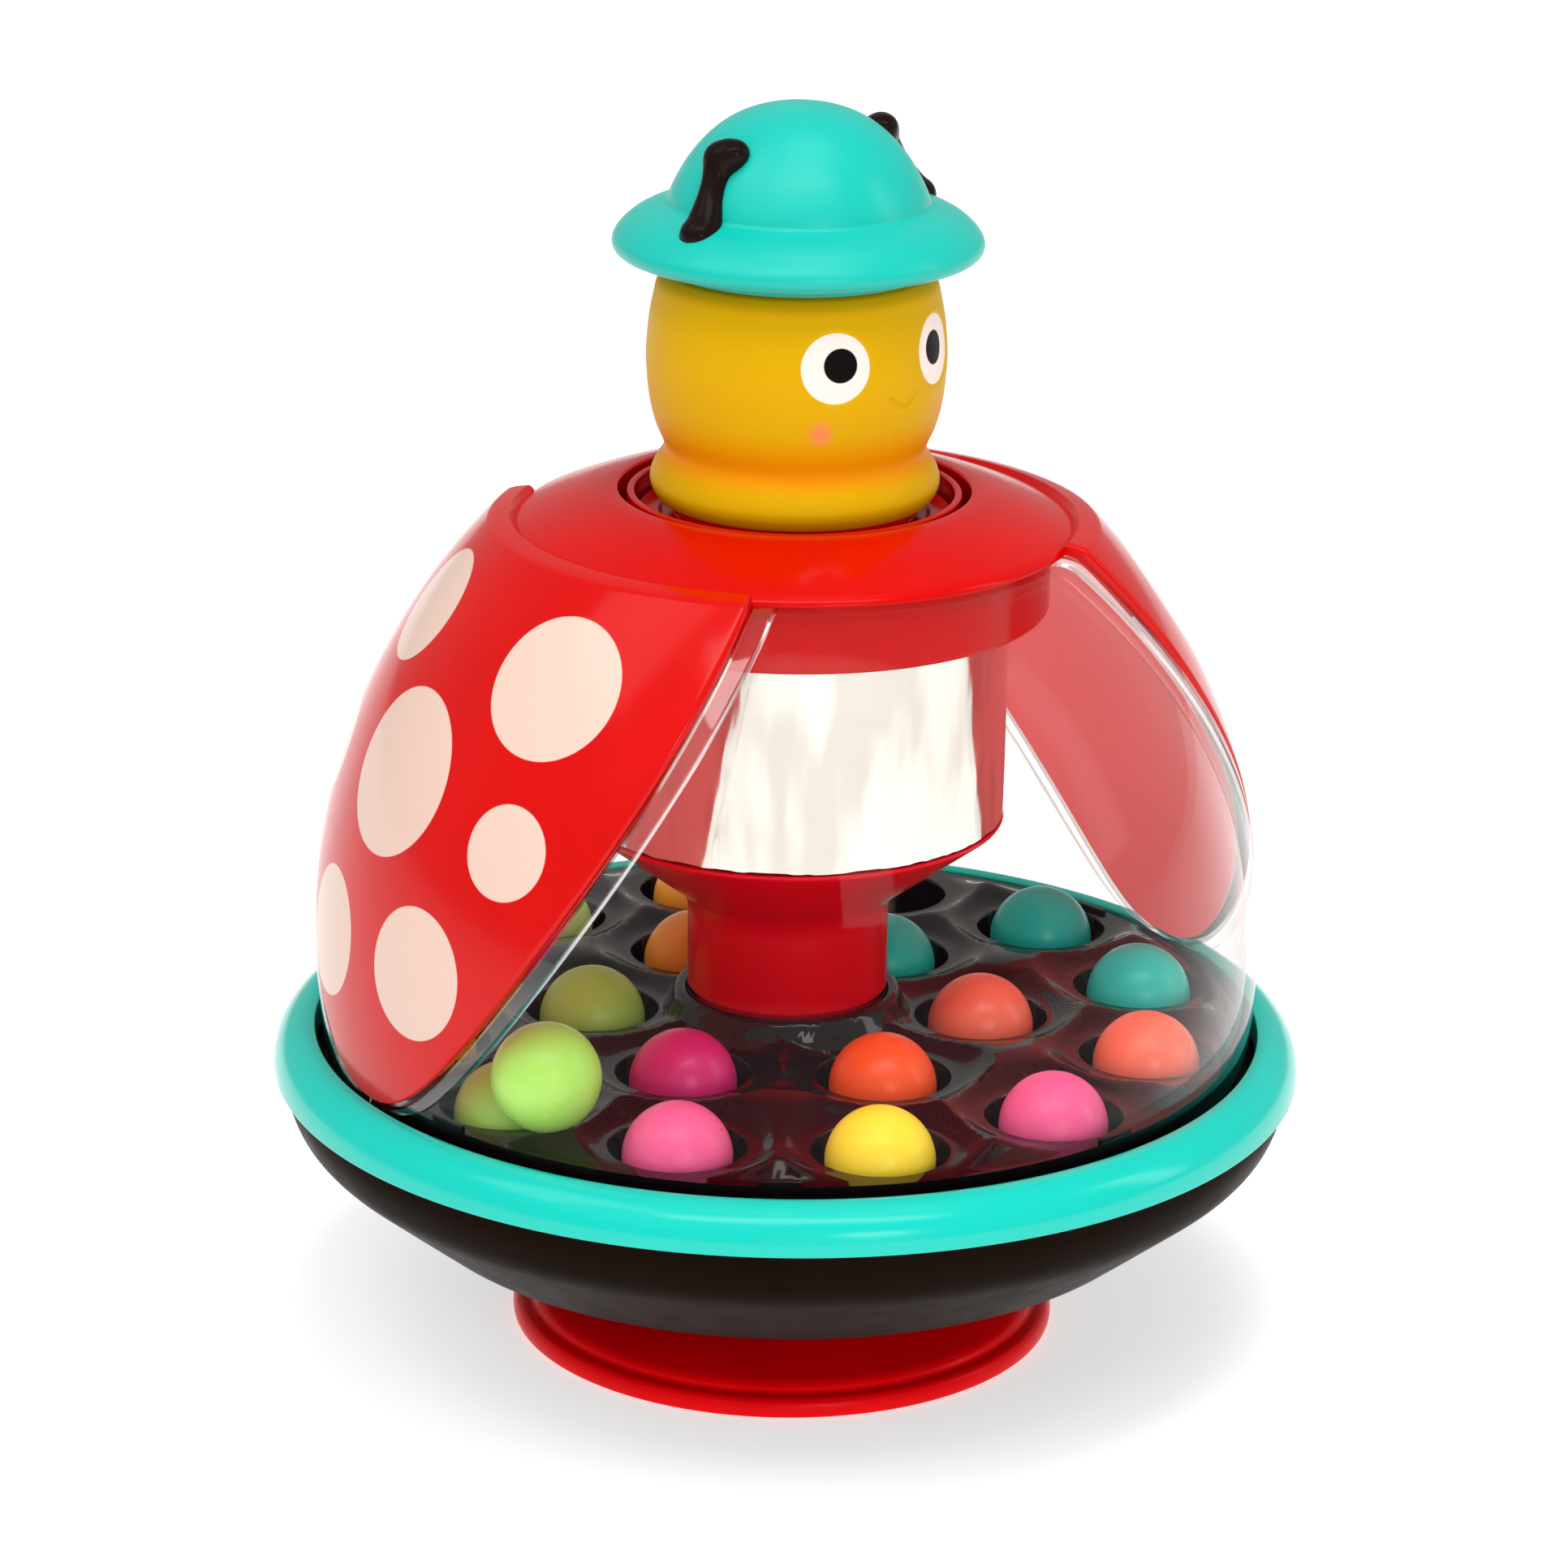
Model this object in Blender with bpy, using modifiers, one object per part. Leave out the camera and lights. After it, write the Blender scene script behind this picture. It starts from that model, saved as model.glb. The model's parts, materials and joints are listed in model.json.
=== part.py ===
"""A push-down spinning top: a clear dome full of balls that spins on a still foot when its head is pressed.

Frame: metres, +Z up the spin axis, origin at the foot's bottom centre. The clear window's middle faces -Y.
Profiles are given in millimetres as (radius, height) points, and azimuths in degrees from -Y towards +X.
"""

import math

import bmesh
import bpy
from mathutils import Matrix, Vector

MM = 0.001

# Driving dimensions, in millimetres and degrees.
RING_RADIUS = 92.0
DOME_RADIUS = 83.9
DOME_HEIGHT = 98.6
DOME_WALL = 1.9
DOME_CENTRE_Z = 70.0
WING_RADIUS = 84.9
WING_HEIGHT = 100.7
WING_THICKNESS = 2.4
WING_TIP_Z = 57.5
WING_TOP_Z = 149.3
WING_HALF_ANGLE = 50.6
WING_STEP_RADIUS = 51.4
WING_AZIMUTHS = {"left_wing": -90.0, "right_wing": 90.0}
TRAY_TURN = -2.2
BALL_RADIUS = 9.5
BALL_REST_Z = 55.55
CUP_RADIUS = 12.0
OUTER_CUPS = 12
OUTER_CUP_RING = 66.3
INNER_CUPS = 6
INNER_CUP_RING = 34.95
EMPTY_OUTER_CUP = 4
LOOSE_BALL = (71.8, -65.7, 67.7)
TWIST_LEAD = 60.0
SPINDLE_HALF = 7.4
SPINDLE_CORNER = 9.9
NUT_CLEARANCE = 0.38
POST_HALF = 4.0
CLUTCH_TEETH = 8
TOOTH_HEIGHT = 1.2
SPRING_RADIUS = 5.4
SPRING_WIRE = 0.5
SPRING_TURNS = 8
SPRING_ENDS = (122.9, 171.3)
FACE_TURN = 10.9
ANTENNA_SPREAD = 83.0
SCREW_RADIUS = 1.2
FOOT_SCREW_RING = 11.4
BOWL_SCREW_RING = 48.0
FINE, MEDIUM, COARSE, SMALL = 40, 32, 24, 8


def clear_scene():
    for obj in list(bpy.data.objects):
        bpy.data.objects.remove(obj, do_unlink=True)


def new_collection(name):
    collection = bpy.data.collections.new(name)
    bpy.context.scene.collection.children.link(collection)
    return collection


def plastic(name, colour, roughness, metallic=0.0, alpha=1.0):
    """A plain finish with one colour."""
    material = bpy.data.materials.new(name)
    material.use_nodes = True
    shader = material.node_tree.nodes["Principled BSDF"]
    shader.inputs["Base Color"].default_value = (*colour, 1.0)
    shader.inputs["Roughness"].default_value = roughness
    shader.inputs["Metallic"].default_value = metallic
    shader.inputs["Alpha"].default_value = alpha
    return material


def polar(radius, azimuth, z):
    """The point at this radius, azimuth and height, in metres."""
    turn = math.radians(azimuth)
    return Vector((radius * math.sin(turn), -radius * math.cos(turn), z)) * MM


def ellipse_radius(a, b, z):
    """The radius, at height z, of a dome of radius a and height b above the dome's centre."""
    return a * math.sqrt(1.0 - ((z - DOME_CENTRE_Z) / b) ** 2)


def add_object(name, mesh, material=None, collection=None, parent=None):
    obj = bpy.data.objects.new(name, mesh)
    (collection or cutters).objects.link(obj)
    if material is None:
        obj.hide_render = True
        obj.display_type = "WIRE"
    elif not mesh.materials:
        mesh.materials.append(material)
    obj.parent = parent
    return obj


def mesh_from(bm, name):
    mesh = bpy.data.meshes.new(name)
    bm.to_mesh(mesh)
    bm.free()
    return mesh


def shade(obj, sharp_degrees=35.0):
    obj.data.shade_smooth()
    obj.data.set_sharp_from_angle(angle=math.radians(sharp_degrees))


def turned(name, profile, segments, material=None, collection=None, parent=None, closed=True):
    """A turned solid. The profile runs down its outer side; an open one starts and ends on the axis."""
    mesh = bpy.data.meshes.new(name)
    edges = [(i, i + 1) for i in range(len(profile) - 1)]
    if closed:
        edges.append((len(profile) - 1, 0))
    mesh.from_pydata([(r * MM, 0.0, z * MM) for r, z in profile], edges, [])
    obj = add_object(name, mesh, material, collection, parent)
    screw = obj.modifiers.new("Turn", "SCREW")
    screw.steps = segments
    screw.render_steps = segments
    screw.use_merge_vertices = True
    screw.merge_threshold = 0.00001
    screw.use_smooth_shade = False
    return obj


def ring(name, inner, outer, low, high, segments, **where):
    """A plain washer or sleeve."""
    profile = [(inner, high), (outer, high), (outer, low), (inner, low)]
    return turned(name, profile, segments, **where)


def bar_section(half, corner):
    """A square's outline with its corners cut back to the corner radius, as angle and radius."""
    cut = math.degrees(math.acos(half / corner))
    section = []
    for quarter in range(4):
        middle = 90.0 * quarter
        section += [(middle - cut, corner), (middle, half), (middle + cut, corner)]
    return section


def square_bar(name, half, corner, low, high, steps=1, lead=None, **where):
    """A square bar along Z, turned once in every lead where one is given."""
    bm = bmesh.new()
    section = bar_section(half, corner)
    rings = []
    for step in range(steps + 1):
        z = low + (high - low) * step / steps
        turn = 360.0 * z / lead if lead else 0.0
        row = []
        for angle, radius in section:
            at = math.radians(angle + turn)
            point = Vector((radius * math.cos(at), radius * math.sin(at), z)) * MM
            row.append(bm.verts.new(point))
        rings.append(row)
    count = len(section)
    for lower, upper in zip(rings, rings[1:]):
        for i in range(count):
            j = (i + 1) % count
            bm.faces.new((lower[i], lower[j], upper[j], upper[i]))
    bm.faces.new(list(reversed(rings[0])))
    bm.faces.new(rings[-1])
    return add_object(name, mesh_from(bm, name), **where)


def rod(name, radius, low, high, segments, centre=(0.0, 0.0)):
    """A cylinder along Z, to cut with or to join."""
    bm = bmesh.new()
    middle = Vector((centre[0], centre[1], (low + high) / 2 * MM))
    bmesh.ops.create_cone(
        bm,
        cap_ends=True,
        segments=segments,
        radius1=radius * MM,
        radius2=radius * MM,
        depth=(high - low) * MM,
        matrix=Matrix.Translation(middle),
    )
    return add_object(name, mesh_from(bm, name))


def tooth_ring(name, inner, outer, back, root, tip, **where):
    """A ring with ratchet teeth on one end: back is its flat end, and the teeth rise from root to tip."""
    bm = bmesh.new()
    rows = []
    pitch = 360.0 / CLUTCH_TEETH
    for tooth in range(CLUTCH_TEETH):
        for share, height in ((0.0, root), (0.45, (root + tip) / 2), (0.9, tip)):
            at = math.radians(pitch * (tooth + share))
            spoke = Vector((math.cos(at), math.sin(at), 0.0))
            corners = ((inner, back), (outer, back), (outer, height), (inner, height))
            rows.append([bm.verts.new((spoke * r + Vector((0, 0, z))) * MM) for r, z in corners])
    for row, following in zip(rows, rows[1:] + rows[:1]):
        for i in range(4):
            j = (i + 1) % 4
            bm.faces.new((row[i], following[i], following[j], row[j]))
    bmesh.ops.recalc_face_normals(bm, faces=bm.faces)
    return add_object(name, mesh_from(bm, name), **where)


def joined(name, objects):
    """One object holding the evaluated meshes of several separate ones, which it removes."""
    bm = bmesh.new()
    bpy.context.view_layer.update()
    graph = bpy.context.evaluated_depsgraph_get()
    for obj in objects:
        piece = bpy.data.meshes.new_from_object(obj.evaluated_get(graph))
        piece.transform(obj.matrix_world)
        bm.from_mesh(piece)
        bpy.data.meshes.remove(piece)
        bpy.data.objects.remove(obj, do_unlink=True)
    return add_object(name, mesh_from(bm, name))


def boolean(obj, other, operation="DIFFERENCE"):
    modifier = obj.modifiers.new(operation.title(), "BOOLEAN")
    modifier.operation = operation
    modifier.object = other
    return obj


# The foot that stands still, and what is fixed to it.


def build_foot():
    profile = [(0, 24.0), (15.6, 24.0), (17.0, 20.8), (21.0, 15.6), (30.0, 9.6), (45.4, 4.6)]
    profile += [(46.2, 3.5), (48.4, 3.3), (49.2, 1.8), (48.9, 0), (43.0, 0), (33.0, 5.6)]
    profile += [(18.6, 13.0), (0, 13.0)]
    foot = turned("suction_foot", profile, FINE, red_dark, top, closed=False)
    boolean(foot, joined("foot_holes", screw_rods("foot_hole", 1.6, FOOT_SCREW_RING, 12.0, 25.0)))


def screw_azimuths():
    """The three screws stand midway between the tray's cups."""
    return [TRAY_TURN + 30.0 + 120.0 * i for i in range(3)]


def screw_rods(name, radius, ring_radius, low, high):
    rods = []
    for i, azimuth in enumerate(screw_azimuths()):
        at = polar(ring_radius, azimuth, 0.0)
        rods.append(rod(f"{name}_{i}", radius, low, high, 10, at[:2]))
    return rods


def build_guide_post():
    profile = [(0, 36.0), (9.0, 36.0), (9.0, 27.3), (14.0, 27.3), (14.0, 24.3), (0, 24.3)]
    post = turned("guide_post", profile, COARSE, steel, top, closed=False)
    shaft = square_bar("post_shaft", POST_HALF, POST_HALF * 1.3, 30.0, 120.0)
    boolean(post, shaft, "UNION")
    holes = screw_rods("flange_hole", 1.6, FOOT_SCREW_RING, 23.0, 28.0)
    holes.append(rod("cap_hole", 1.7, 106.0, 121.0, 10))
    boolean(post, joined("post_holes", holes))


def screw(name, tip, seat, end, head_radius, parent=None, at=(0.0, 0.0)):
    """A screw with its shank from tip to seat and its head from seat to end, along Z either way up."""
    if tip > end:
        profile = [(0, tip), (SCREW_RADIUS, tip - 0.8), (SCREW_RADIUS, seat)]
        profile += [(head_radius, seat), (head_radius, end), (0, end)]
    else:
        profile = [(0, end), (head_radius, end), (head_radius, seat)]
        profile += [(SCREW_RADIUS, seat), (SCREW_RADIUS, tip + 0.8), (0, tip)]
    obj = turned(name, profile, SMALL, steel, top, parent, closed=False)
    obj.location = (*at, 0.0)
    return obj


def build_foot_fittings():
    for i, azimuth in enumerate(screw_azimuths()):
        at = polar(FOOT_SCREW_RING, azimuth, 0.0)
        screw(f"foot_screw_{i + 1}", 26.6, 12.7, 10.6, 2.6, at=at[:2])
    ring("thrust_washer", 9.3, 13.6, 27.6, 28.4, COARSE, material=nylon, collection=top)
    ring("retaining_ring", 9.3, 12.0, 34.6, 35.7, COARSE, material=steel, collection=top)
    ring("post_cap", 1.9, 6.6, 120.4, 122.0, 16, material=steel, collection=top)
    screw("post_screw", 108.0, 122.3, 124.2, 3.2)


def build_return_spring():
    curve = bpy.data.curves.new("return_spring", "CURVE")
    curve.dimensions = "3D"
    curve.bevel_depth = SPRING_WIRE * MM
    curve.bevel_resolution = 1
    curve.use_fill_caps = True
    per_turn = 8
    count = SPRING_TURNS * per_turn + 1
    spline = curve.splines.new("POLY")
    spline.points.add(count - 1)
    low, high = SPRING_ENDS
    for i in range(count):
        angle = 2 * math.pi * i / per_turn
        x = SPRING_RADIUS * math.cos(angle)
        y = SPRING_RADIUS * math.sin(angle)
        z = low + SPRING_WIRE + (high - low - 2 * SPRING_WIRE) * i / (count - 1)
        spline.points[i].co = (x * MM, y * MM, z * MM, 1.0)
    curve.materials.append(steel)
    top.objects.link(bpy.data.objects.new("return_spring", curve))


# The spinning body.


def build_lower_bowl():
    profile = [(90.0, 48.9), (90.0, 45.4), (87.8, 39.6), (71.0, 25.9), (67.8, 23.5), (26.0, 24.6)]
    profile += [(20.0, 28.0), (14.0, 28.0), (14.0, 31.0), (12.8, 31.0), (12.8, 38.0), (17.2, 38.0)]
    profile += [(17.2, 31.0), (27.0, 27.2), (67.0, 26.1), (85.9, 41.4), (87.3, 46.6), (79.4, 46.6)]
    profile += [(79.4, 48.9)]
    bowl = turned("lower_bowl", profile, FINE, black, top, rotor)
    boolean(bowl, joined("bowl_holes", screw_rods("bowl_hole", 1.9, BOWL_SCREW_RING, 22.0, 28.0)))


def build_rim_ring():
    profile = [(84.5, 56.2), (86.6, 56.2), (89.0, 55.3), (90.9, 53.6), (91.8, 51.6)]
    profile += [(RING_RADIUS, 49.2), (87.3, 49.2), (87.3, 51.5), (84.5, 51.5)]
    turned("rim_ring", profile, FINE, teal, top, rotor)


def cup_places():
    """Each cup's name, ring radius and azimuth."""
    places = []
    for i in range(OUTER_CUPS):
        places.append((f"outer_{i + 1:02d}", OUTER_CUP_RING, TRAY_TURN + 15.0 + 30.0 * i))
    for i in range(INNER_CUPS):
        places.append((f"inner_{i + 1}", INNER_CUP_RING, TRAY_TURN + 60.0 * i))
    return places


def build_ball_tray():
    profile = [(16.9, 63.0), (19.2, 63.0), (22.2, 57.5), (81.2, 57.5), (81.2, 49.2)]
    profile += [(79.9, 49.2), (79.9, 55.7), (20.8, 55.7), (18.5, 60.0), (16.9, 60.0)]
    tray = turned("ball_tray", profile, FINE, black, top, rotor)
    holes = []
    cups = []
    for name, radius, azimuth in cup_places():
        at = polar(radius, azimuth, 0.0)
        holes.append(rod(f"hole_{name}", CUP_RADIUS + 0.5, 55.0, 58.5, 12, at[:2]))
        cup_profile = [(0, 45.7), (10.4, 45.7), (CUP_RADIUS, 57.9)]
        cup_profile += [(CUP_RADIUS + 1.3, 57.9), (11.6, 44.3), (0, 44.3)]
        cup = turned(f"cup_{name}", cup_profile, 12, closed=False)
        cup.location = at
        cups.append(cup)
    bosses = screw_rods("tray_boss", 3.6, BOWL_SCREW_RING, 26.8, 56.6)
    boolean(tray, joined("cup_holes", holes))
    boolean(tray, joined("cups_and_bosses", cups + bosses), "UNION")
    boolean(tray, joined("pilot_holes", screw_rods("pilot", 1.5, BOWL_SCREW_RING, 26.0, 46.0)))


def build_clear_dome():
    wall_a, wall_b = DOME_RADIUS - DOME_WALL, DOME_HEIGHT - DOME_WALL
    outer_z = [145.0, 136.0, 124.0, 109.0, 91.0, DOME_CENTRE_Z]
    inner_z = [DOME_CENTRE_Z, 91.0, 109.0, 124.0, 136.0, 143.0]
    profile = [(45.4, 147.9), (49.7, 147.9), (52.7, 146.8)]
    profile += [(ellipse_radius(DOME_RADIUS, DOME_HEIGHT, z), z) for z in outer_z]
    profile += [(83.7, 51.2), (87.0, 51.2), (87.0, 49.2), (81.8, 49.2)]
    profile += [(ellipse_radius(wall_a, wall_b, z), z) for z in inner_z]
    profile += [(50.4, 145.3), (45.4, 145.9)]
    dome = turned("clear_dome", profile, FINE, clear, top, rotor)
    for name, azimuth in WING_AZIMUTHS.items():
        boolean(dome, panel(f"{name}_opening", azimuth, 0.35, 6.0, 9.0))


def wing_point(across, up, azimuth, margin):
    """A point of a wing's outer surface: across from -1 to 1, up from 0 at the tip to 1 at the collar.

    The last tenth of the way up is the flat step that runs in to the collar.
    """
    body_share = 0.9
    share = min(up / body_share, 1.0)
    z = WING_TIP_Z - margin + (WING_TOP_Z - WING_TIP_Z + margin) * max(share, 0.004)
    radius = ellipse_radius(WING_RADIUS, WING_HEIGHT, z) + 1.4 * share**8
    half = WING_HALF_ANGLE * (0.42 * share + 0.58 * math.sqrt(max(share, 0.004)))
    half += math.degrees(margin / radius)
    if up > body_share:
        inward = (up - body_share) / (1.0 - body_share)
        radius += (WING_STEP_RADIUS - margin - radius) * inward
        z += 1.3 * inward**0.5
    return polar(radius, azimuth + across * half, z)


def panel(name, azimuth, margin, outward, inward, **where):
    """A wing-shaped solid: its outer surface moved outward and inward along lines from the dome's middle."""
    columns, rows = 9, 12
    middle = polar(0.0, 0.0, 88.0)
    bm = bmesh.new()
    layers = []
    for shift in (outward, -inward):
        layer = []
        for row in range(rows + 1):
            line = []
            for column in range(columns + 1):
                point = wing_point(2.0 * column / columns - 1.0, row / rows, azimuth, margin)
                direction = (point - middle).normalized()
                line.append(bm.verts.new(point + direction * shift * MM))
            layer.append(line)
        layers.append(layer)
    outer, inner = layers
    for row in range(rows):
        for column in range(columns):
            for layer in layers:
                bm.faces.new(
                    (
                        layer[row][column],
                        layer[row][column + 1],
                        layer[row + 1][column + 1],
                        layer[row + 1][column],
                    )
                )
    for row in range(rows):
        for side in (0, columns):
            bm.faces.new((outer[row][side], outer[row + 1][side], inner[row + 1][side], inner[row][side]))
    for column in range(columns):
        for end in (0, rows):
            bm.faces.new(
                (outer[end][column], outer[end][column + 1], inner[end][column + 1], inner[end][column])
            )
    bmesh.ops.recalc_face_normals(bm, faces=bm.faces)
    return add_object(name, mesh_from(bm, name), **where)


def build_wings():
    for name, azimuth in WING_AZIMUTHS.items():
        wing = panel(name, azimuth, 0.0, 0.0, WING_THICKNESS, material=red, collection=top, parent=rotor)
        shade(wing)


def build_shoulder():
    profile = [(30.8, 155.45), (33.0, 155.3), (38.0, 154.0), (44.0, 151.8), (48.4, 149.9), (49.3, 148.9)]
    profile += [(49.3, 148.2), (46.0, 148.2), (43.5, 149.4), (33.2, 152.9), (33.2, 147.0), (30.8, 147.0)]
    turned("shoulder_collar", profile, MEDIUM, red, top, rotor)
    skirt = [(45.0, 147.6), (45.0, 135.1), (38.5, 135.1), (38.5, 137.1), (43.0, 137.1), (43.0, 147.6)]
    turned("inner_skirt", skirt, MEDIUM, red, top, rotor)
    bush = [(29.3, 155.0), (29.3, 146.7), (33.2, 146.7), (33.2, 144.7), (27.9, 144.7), (27.9, 155.0)]
    turned("guide_bush", bush, MEDIUM, red, top, rotor)
    ring("mirror_drum", 36.4, 38.05, 97.0, 147.3, MEDIUM, material=mirror, collection=top, parent=rotor)


def build_drive_column():
    profile = [(38.05, 96.7), (17.9, 80.7), (17.9, 63.45), (16.5, 63.45), (16.5, 38.3), (14.2, 38.3)]
    profile += [(14.2, 66.0), (15.6, 66.0), (15.6, 84.0), (19.6, 84.0), (35.9, 96.7)]
    turned("drive_column", profile, COARSE, red_dark, top, rotor)


def build_clutch():
    tooth_ring("clutch_ring", 10.6, 15.2, 66.3, 71.0, 72.2, material=nylon, collection=top, parent=rotor)
    ring("nut_keeper", 10.6, 15.2, 81.8, 83.6, COARSE, material=nylon, collection=top, parent=rotor)
    nut_place = {"material": nylon, "collection": top, "parent": nut_axis}
    nut = tooth_ring("drive_nut", 7.0, 14.2, 81.2, 75.0, 73.8, **nut_place)
    half = SPINDLE_HALF + NUT_CLEARANCE
    corner = SPINDLE_CORNER + NUT_CLEARANCE
    boolean(nut, square_bar("nut_cutter", half, corner, 70.0, 85.0, 8, TWIST_LEAD))


def build_hub_bush():
    profile = [(12.4, 34.2), (12.4, 30.6), (13.6, 30.6), (13.6, 28.7), (9.2, 28.7), (9.2, 34.2)]
    turned("hub_bush", profile, COARSE, nylon, top, rotor)
    for i, azimuth in enumerate(screw_azimuths()):
        at = polar(BOWL_SCREW_RING, azimuth, 0.0)
        screw(f"bowl_screw_{i + 1}", 42.0, 23.4, 21.4, 3.0, rotor, at[:2])


def add_ball(name, at, material):
    bm = bmesh.new()
    bmesh.ops.create_uvsphere(bm, u_segments=10, v_segments=6, radius=BALL_RADIUS * MM)
    ball = add_object(name, mesh_from(bm, name), material, top, rotor)
    ball.location = at
    shade(ball, 180.0)


def build_balls():
    colours = {
        "outer": (pink, coral, aqua, aqua, None, amber, lime, magenta, yellow, lime, pink, yellow),
        "inner": (orange, coral, aqua, amber, lime, magenta),
    }
    for name, radius, azimuth in cup_places():
        ring_name, number = name.split("_")
        index = int(number) - 1
        if ring_name == "outer" and index == EMPTY_OUTER_CUP:
            continue
        add_ball(f"ball_{name}", polar(radius, azimuth, BALL_REST_Z), colours[ring_name][index])
    add_ball("ball_loose", polar(*LOOSE_BALL), lime)


# The head and what moves down with it.


def build_spindle():
    spindle = square_bar(
        "spindle",
        SPINDLE_HALF,
        SPINDLE_CORNER,
        71.0,
        119.6,
        20,
        TWIST_LEAD,
        material=nylon,
        collection=top,
        parent=plunger,
    )
    boolean(spindle, rod("spindle_neck", 9.8, 119.0, 189.2, 24), "UNION")
    boolean(spindle, square_bar("post_bore", 4.35, 5.75, 70.0, 119.5))
    bores = [rod("spring_bore", 7.4, 119.2, 172.0, 20), rod("screw_bore", 1.5, 176.0, 190.0, 10)]
    boolean(spindle, joined("spindle_bores", bores))


def build_head():
    outer = [(20.4, 200.0), (20.4, 194.1), (22.6, 193.6), (24.4, 192.0), (25.6, 186.5), (26.1, 179.0)]
    outer += [(25.7, 173.0), (24.4, 167.2), (22.9, 163.2), (24.5, 160.0), (25.2, 157.2), (24.2, 154.9)]
    inner = [(22.4, 154.9), (23.3, 157.4), (21.1, 163.2), (24.1, 176.0), (23.0, 190.6)]
    inner += [(18.7, 192.8), (18.7, 200.0)]
    turned("head_shell", outer + inner, COARSE, yellow, top, plunger)
    core = [(19.6, 192.0), (19.6, 190.0), (13.5, 190.0), (13.5, 154.4), (21.8, 154.4), (21.8, 152.1)]
    core += [(10.2, 152.1), (10.2, 189.6), (1.9, 189.6), (1.9, 192.0)]
    turned("head_core", core, COARSE, nylon, top, plunger)
    ring("guide_disc", 10.2, 27.4, 149.6, 151.6, MEDIUM, material=red, collection=top, parent=plunger)
    screw("head_screw", 178.0, 192.3, 194.3, 3.4, plunger)


def build_hat():
    outer = [(0, 223.4), (6.5, 222.7), (12.2, 220.6), (16.4, 217.3), (19.6, 213.4), (22.0, 209.2)]
    outer += [(22.7, 206.4), (26.5, 204.9), (30.2, 202.7), (32.1, 199.4), (31.2, 197.7), (28.4, 197.1)]
    outer += [(24.6, 195.7), (22.6, 194.5)]
    inner = [(20.8, 194.5), (20.8, 206.0), (17.6, 212.6), (11.0, 218.4), (0, 221.0)]
    hat = turned("hat", outer + inner, COARSE, teal, top, plunger, closed=False)
    for side, name in ((-1, "left"), (1, "right")):
        azimuth = FACE_TURN + side * ANTENNA_SPREAD
        foot = polar(24.4, azimuth, 204.6)
        knob = polar(18.2, azimuth, 216.8)
        bm = bmesh.new()
        bmesh.ops.create_cone(
            bm,
            cap_ends=True,
            segments=8,
            radius1=2.6 * MM,
            radius2=1.8 * MM,
            depth=(knob - foot).length,
            matrix=Matrix.Translation((foot + knob) / 2)
            @ (knob - foot).to_track_quat("Z", "Y").to_matrix().to_4x4(),
        )
        boolean(hat, add_object(f"antenna_stem_{name}", mesh_from(bm, "stem")), "UNION")
        bm = bmesh.new()
        bmesh.ops.create_uvsphere(
            bm, u_segments=10, v_segments=6, radius=3.1 * MM, matrix=Matrix.Translation(knob)
        )
        boolean(hat, add_object(f"antenna_knob_{name}", mesh_from(bm, "knob")), "UNION")


def smooth_everything():
    for obj in top.objects:
        if obj.type == "MESH":
            shade(obj)


clear_scene()
top = new_collection("spinning_top")
cutters = new_collection("cutters")
cutters.hide_render = True

red = plastic("red_gloss_plastic", (0.78, 0.010, 0.006), 0.22)
red_dark = plastic("dark_red_plastic", (0.50, 0.002, 0.004), 0.25)
teal = plastic("teal_plastic", (0.02, 0.66, 0.58), 0.35)
black = plastic("black_gloss_plastic", (0.012, 0.006, 0.004), 0.12)
clear = plastic("clear_plastic", (0.95, 0.96, 0.96), 0.05, alpha=0.3)
mirror = plastic("mirror_film", (0.85, 0.85, 0.85), 0.12, metallic=1.0)
nylon = plastic("white_nylon", (0.82, 0.82, 0.80), 0.45)
steel = plastic("steel", (0.60, 0.60, 0.62), 0.3, metallic=1.0)
yellow = plastic("yellow_vinyl", (0.92, 0.52, 0.0), 0.5)
pink = plastic("pink_ball", (0.83, 0.13, 0.28), 0.3)
coral = plastic("coral_ball", (0.91, 0.19, 0.12), 0.3)
aqua = plastic("aqua_ball", (0.02, 0.60, 0.50), 0.3)
amber = plastic("amber_ball", (0.87, 0.37, 0.03), 0.3)
lime = plastic("lime_ball", (0.42, 0.78, 0.15), 0.3)
magenta = plastic("magenta_ball", (0.66, 0.02, 0.19), 0.3)
orange = plastic("orange_ball", (0.91, 0.10, 0.02), 0.3)

rotor = bpy.data.objects.new("rotor_axis", None)
plunger = bpy.data.objects.new("plunger_axis", None)
nut_axis = bpy.data.objects.new("nut_axis", None)
for axis in (rotor, plunger, nut_axis):
    top.objects.link(axis)

build_foot()
build_guide_post()
build_foot_fittings()
build_return_spring()
build_lower_bowl()
build_rim_ring()
build_ball_tray()
build_clear_dome()
build_wings()
build_shoulder()
build_drive_column()
build_clutch()
build_hub_bush()
build_balls()
build_spindle()
build_head()
build_hat()
smooth_everything()
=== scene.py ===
# The looks of the push-down spinning top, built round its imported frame.
#
# Sizes are in millimetres and azimuths in degrees from -Y towards +X, as in the part itself. A turned
# piece's outline is given as (inset from the node's outer radius, height above the node's lowest point),
# so that it sits where the frame has the node. Meshes and shaders are in metres.

import json
import math
import random

import bmesh
import bpy
import numpy as np
from mathutils import Matrix, Vector
from mathutils.geometry import delaunay_2d_cdt

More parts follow.
